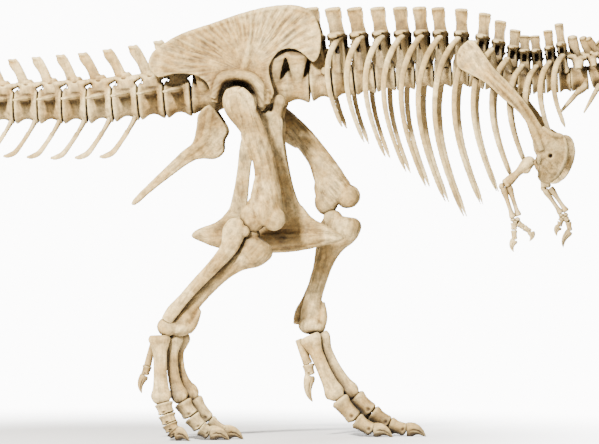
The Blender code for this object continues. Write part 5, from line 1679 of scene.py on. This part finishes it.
SKULL_BACK, SKULL_PITCH = Vector((3.79, 0.0, 3.52)), math.radians(-4.0)
JAW_HINGE, JAW_OPEN = Vector((0.06, 0.0, -0.03)), math.radians(13.0)
head_place = Matrix.Translation(SKULL_BACK) @ Matrix.Rotation(-SKULL_PITCH, 4, "Y")
jaw_place = (head_place @ Matrix.Translation(JAW_HINGE) @ Matrix.Rotation(JAW_OPEN, 4, "Y")
             @ Matrix.Translation(-JAW_HINGE))
skull = skull_bone()
skull.data.transform(head_place)
settle(skull, "head_bone", ["skull"], ALONG_X)
print("the skull has", len(skull.data.polygons), "faces")

# %% [markdown]
# ## The lower jaw
#
# Two deep halves meet at the chin.  Each is a loft whose sections are tall and narrow,
# with a tooth row in front, a high crest for the jaw's muscles behind it, a small window
# and the seams of its bones.  It is modelled shut and then turned open about its hinge.

# %% Model the two halves
JAW_STATIONS = [
    (-0.02, -0.1, -0.16, 0.33), (0.06, -0.055, -0.205, 0.335), (0.2, -0.02, -0.27, 0.325),
    (0.38, 0.0, -0.305, 0.3), (0.52, -0.05, -0.29, 0.255), (0.8, -0.085, -0.245, 0.18),
    (1.1, -0.09, -0.24, 0.14), (1.3, -0.07, -0.225, 0.085), (1.365, -0.075, -0.15, 0.045),
]
JAW_SECTION = [
    (-0.65, 0.03), (0, 0), (0.65, 0.03), (0.95, 0.16), (1.0, 0.4), (0.92, 0.62), (0.72, 0.8), (0.7, 0.95),
    (0, 1.0), (-0.7, 0.95), (-0.75, 0.75), (-0.92, 0.5), (-0.95, 0.2),
]
JAW_SEAMS = [
    [(0.5, -0.035), (0.46, -0.1), (0.5, -0.15), (0.62, -0.2), (0.72, -0.245)],
    [(0.36, -0.12), (0.26, -0.14), (0.12, -0.145)],
    [(0.5, -0.15), (0.38, -0.2), (0.24, -0.215)],
]
JAW_WINDOW = [(0.335, -0.125), (0.365, -0.1), (0.405, -0.115), (0.395, -0.15), (0.35, -0.155)]
CHIN_PITS = 5


def jaw_line(values, x):
    return float(np.interp(x, [s[0] for s in JAW_STATIONS], [s[values] for s in JAW_STATIONS]))


def jaw_half(side):
    fine = through([(s[0], s[1], s[2]) for s in JAW_STATIONS], 41)
    rings = []
    for x, top, low in fine:
        half = float(np.interp(x, [0.0, 1.15, 1.25], [0.026, 0.028, 0.036]))
        out = jaw_line(3, x)
        rings.append([(x, side * (out + half * w), mix(low, top, h)) for w, h in JAW_SECTION])
    body = loft("jaw_body", rings)
    take_away(body, plate(JAW_WINDOW, CUT_WIDTH, rim=0.02))
    parts = [
        body,
        rod([(0.03, side * 0.345, -0.085), (0.1, side * 0.345, -0.065), (0.24, side * 0.345, -0.075),
             (0.42, side * 0.305, -0.06)],
            [0.034, 0.03, 0.022, 0.012]),
        rod([(0.6, side * 0.235, -0.255), (0.9, side * 0.165, -0.222), (1.2, side * 0.118, -0.215)],
            [0.012, 0.017, 0.016]),
        knob((0.225, side * 0.35, -0.125), (0.03, 0.012, 0.018)),
        rod([(0.06, side * 0.33, -0.06), (0.06, side * 0.27, -0.06)], [0.04, 0.03], (1, 1, 0.7)),
    ]
    if side == RIGHT:
        parts.append(rod([(1.34, -0.045, -0.12), (1.34, 0, -0.12), (1.34, 0.03, -0.12)],
                         [0.045, 0.044, 0.04], (0.7, 1, 1.2)))
    for k in range(CHIN_PITS):
        x = 1.26 - 0.11 * k
        z = jaw_line(1, x) - 0.045
        parts.append(knob((x, side * (jaw_line(3, x) + 0.027), z), (0.009, 0.007, 0.006)))
    bone = fuse(f"jaw_half_{SIDE_NAMES[side]}", parts, grain=0.007, soften=2, lump=0.004)

    def finish(p):
        inward = groove(p, JAW_SEAMS, 0.006, 0.0065, np.zeros(len(p)))
        return np.column_stack([p[:, 0], p[:, 1] - side * inward, p[:, 2]])

    return reshape(bone, finish)


for side in (RIGHT, LEFT):
    bone = jaw_half(side)
    bone.data.transform(jaw_place)
    settle(bone, "head_bone", ["jaw"], ALONG_X)
print("each half of the jaw has", len(settled[-1].data.polygons), "faces")

# %% [markdown]
# ## Teeth and their sockets
#
# The teeth are thick, curved back and oval across: bananas with an edge.  They are longest
# behind the nostril and small at the front and the hind end of the row.  One is modelled
# a metre long and copied; its grain runs from 0 at the root to 1 at the tip, for the
# enamel's colour.

# %% Model a tooth and set out the rows
TOOTH_ROOT, TOOTH_GRAIN = 0.35, 6
UPPER_TEETH, FRONT_TEETH, LOWER_TEETH = 16, 4, 12


def tooth_model():
    line = [
        (0.02, 0, TOOTH_ROOT), (0.025, 0, 0.1), (0.015, 0, -0.2), (-0.015, 0, -0.5),
        (-0.06, 0, -0.76), (-0.115, 0, -0.94), (-0.14, 0, -1.0),
    ]
    tooth = rod(line, [0.95, 1.0, 0.9, 0.7, 0.44, 0.18, 0.02], (0.2, 0.14, 1), steps=3, rounding=5)
    bpy.ops.object.transform_apply(location=True, rotation=True, scale=True)
    tooth.name = "tooth_model"
    return tooth


tooth = tooth_model()


def add_tooth(name, place, x, y, gum, length, half, way, node):
    """A tooth at x whose gum line is at height gum; way is -1 for the upper row."""
    size = Matrix.Diagonal((half / 0.2, half / 0.2, length * -way, 1))
    made = copy_of(tooth, name, Matrix.Translation((x, y, gum)) @ size)
    p = places_of(made)
    height = np.clip((p[:, 2] - gum) * way / length, 0, 1)
    grain = np.column_stack([p[:, 0] * TOOTH_GRAIN, p[:, 1] * TOOTH_GRAIN, height])
    made.data.transform(place)
    settle(made, "tooth", [node], lambda _: grain)


for side in (RIGHT, LEFT):
    name = SIDE_NAMES[side]
    for k in range(UPPER_TEETH):
        if k < FRONT_TEETH:
            x, length, half = 1.352 - 0.036 * k, 0.07, 0.015
            y = side * mix(0.05, 0.12, k / 3)
        else:
            n = k - FRONT_TEETH
            size = math.sin(math.pi * (0.22 + 0.78 * (n + 0.3) / 12.6)) ** 0.7
            x, length, half = 1.185 - 0.053 * n, 0.045 + 0.105 * size, 0.011 + 0.014 * size
            y = side * (0.97 * skull_at(x, halves, 0) - 0.03)
        gum = skull_at(x, lows, 1)
        add_tooth(f"upper_tooth_{k:02d}_{name}", head_place, x, y, gum, length, half, -1, "skull")
    for k in range(LOWER_TEETH):
        x = 1.325 - 0.056 * k
        size = math.sin(math.pi * (0.22 + 0.74 * k / LOWER_TEETH)) ** 0.6
        gum, y = jaw_line(1, x), side * jaw_line(3, x)
        length, half = 0.035 + 0.058 * size, 0.009 + 0.013 * size
        add_tooth(f"lower_tooth_{k:02d}_{name}", jaw_place, x, y, gum, length, half, 1, "jaw")
throw_away(tooth)
print(len(settled), "bones and teeth")

# %% [markdown]
# ## Floor, light and camera
#
# A pale floor fades out into a pale sky, so the bones stand out alone.  Three soft lamps
# stand round the skeleton, as in a studio: a warm key high in front and a little to the
# left, which lays each bone's shadow close beside it on the bones behind, a weaker fill
# from the right, and one behind that picks out the ribs.  The camera has a long lens, far
# off, level and almost square to the side, so that near and far bones keep their true sizes.

# %% Floor and sky
FLOOR_SIZE = 90
FADE_FROM, FADE_TO = 1.5, 6.5


def floor_finish(colour, roughness):
    """The floor turns clear with the distance from its middle, so it has no edge."""
    material, nodes, links, shader = new_finish("pale floor")
    shader.inputs["Base Color"].default_value = (*colour, 1.0)
    shader.inputs["Roughness"].default_value = roughness
    shader.inputs["Specular IOR Level"].default_value = 0.1
    place = nodes.new("ShaderNodeTexCoord").outputs["Object"]
    far = nodes.new("ShaderNodeVectorMath")
    far.operation = "LENGTH"
    links.new(place, far.inputs[0])
    share = nodes.new("ShaderNodeMapRange")
    share.interpolation_type = "SMOOTHSTEP"
    share.inputs["From Min"].default_value = FADE_FROM
    share.inputs["From Max"].default_value = FADE_TO
    links.new(far.outputs["Value"], share.inputs["Value"])
    clear = nodes.new("ShaderNodeBsdfTransparent")
    both = nodes.new("ShaderNodeMixShader")
    links.new(share.outputs["Result"], both.inputs["Fac"])
    links.new(shader.outputs["BSDF"], both.inputs[1])
    links.new(clear.outputs["BSDF"], both.inputs[2])
    links.new(both.outputs["Shader"], nodes["Material Output"].inputs["Surface"])
    return material


let_go()
bpy.ops.mesh.primitive_plane_add(size=FLOOR_SIZE, location=(0, 0, -0.0005))
floor = bpy.context.object
floor.name = "floor"
floor.data.materials.append(floor_finish((0.92, 0.915, 0.905), 0.9))

# The sky looks brighter than it shines, so the ground behind the bones is plain white.
SKY_SHINE, SKY_LOOK = 0.3, 12.0
world = bpy.data.worlds.new("pale sky")
world.use_nodes = True
nodes, links = world.node_tree.nodes, world.node_tree.links
sky = nodes["Background"]
sky.inputs["Color"].default_value = (1.0, 0.995, 0.985, 1.0)
seen = nodes.new("ShaderNodeMapRange")
seen.inputs["To Min"].default_value = SKY_SHINE
seen.inputs["To Max"].default_value = SKY_LOOK
links.new(nodes.new("ShaderNodeLightPath").outputs["Is Camera Ray"], seen.inputs["Value"])
links.new(seen.outputs["Result"], sky.inputs["Strength"])
bpy.context.scene.world = world
print("the floor is", FLOOR_SIZE, "m across")

# %% Lamps
LAMPS_AIM = Vector((1.0, 0, 2.2))


def lamp(name, place, power, size, colour):
    let_go()
    bpy.ops.object.light_add(type="AREA", location=place)
    light = bpy.context.object
    light.name = name
    light.data.energy = power
    light.data.size = size
    light.data.color = colour
    aim = LAMPS_AIM - Vector(place)
    light.rotation_euler = aim.to_track_quat("-Z", "Y").to_euler()
    return light


lamp("key lamp", (-4.0, -13.5, 11.5), 12000, 1.8, (1.0, 0.96, 0.9))
lamp("fill lamp", (10.0, -12.0, 4.0), 500, 7.0, (1.0, 0.97, 0.94))
lamp("back lamp", (3.0, 12.0, 10.0), 1200, 6.0, (1.0, 0.98, 0.95))
print("three lamps")

# %% Camera
LENS, SENSOR, WIDTH_SEEN = 250.0, 36.0, 5.271
AIM = Vector((0.4367, 0.0, 1.9008)) + HIP_ZERO
SWING = math.radians(4.0)
DISTANCE = WIDTH_SEEN * LENS / SENSOR
let_go()
bpy.ops.object.camera_add(
    location=AIM + DISTANCE * Vector((math.sin(SWING), -math.cos(SWING), 0)),
    rotation=(math.radians(90), 0, SWING),
)
camera = bpy.context.object
camera.data.lens = LENS
camera.data.sensor_width = SENSOR
camera.data.clip_end = 2000
bpy.context.scene.camera = camera
print("the camera stands", round(DISTANCE, 1), "m away")

# %% [markdown]
# ## The last count
#
# The toe and claw models that were copied are thrown away, and the bones and their faces
# are counted.

# %% Throw away the models and count the bones
throw_away(toe_model, claw)
print(len(settled), "bones;", sum(len(p.data.polygons) for p in settled), "faces")
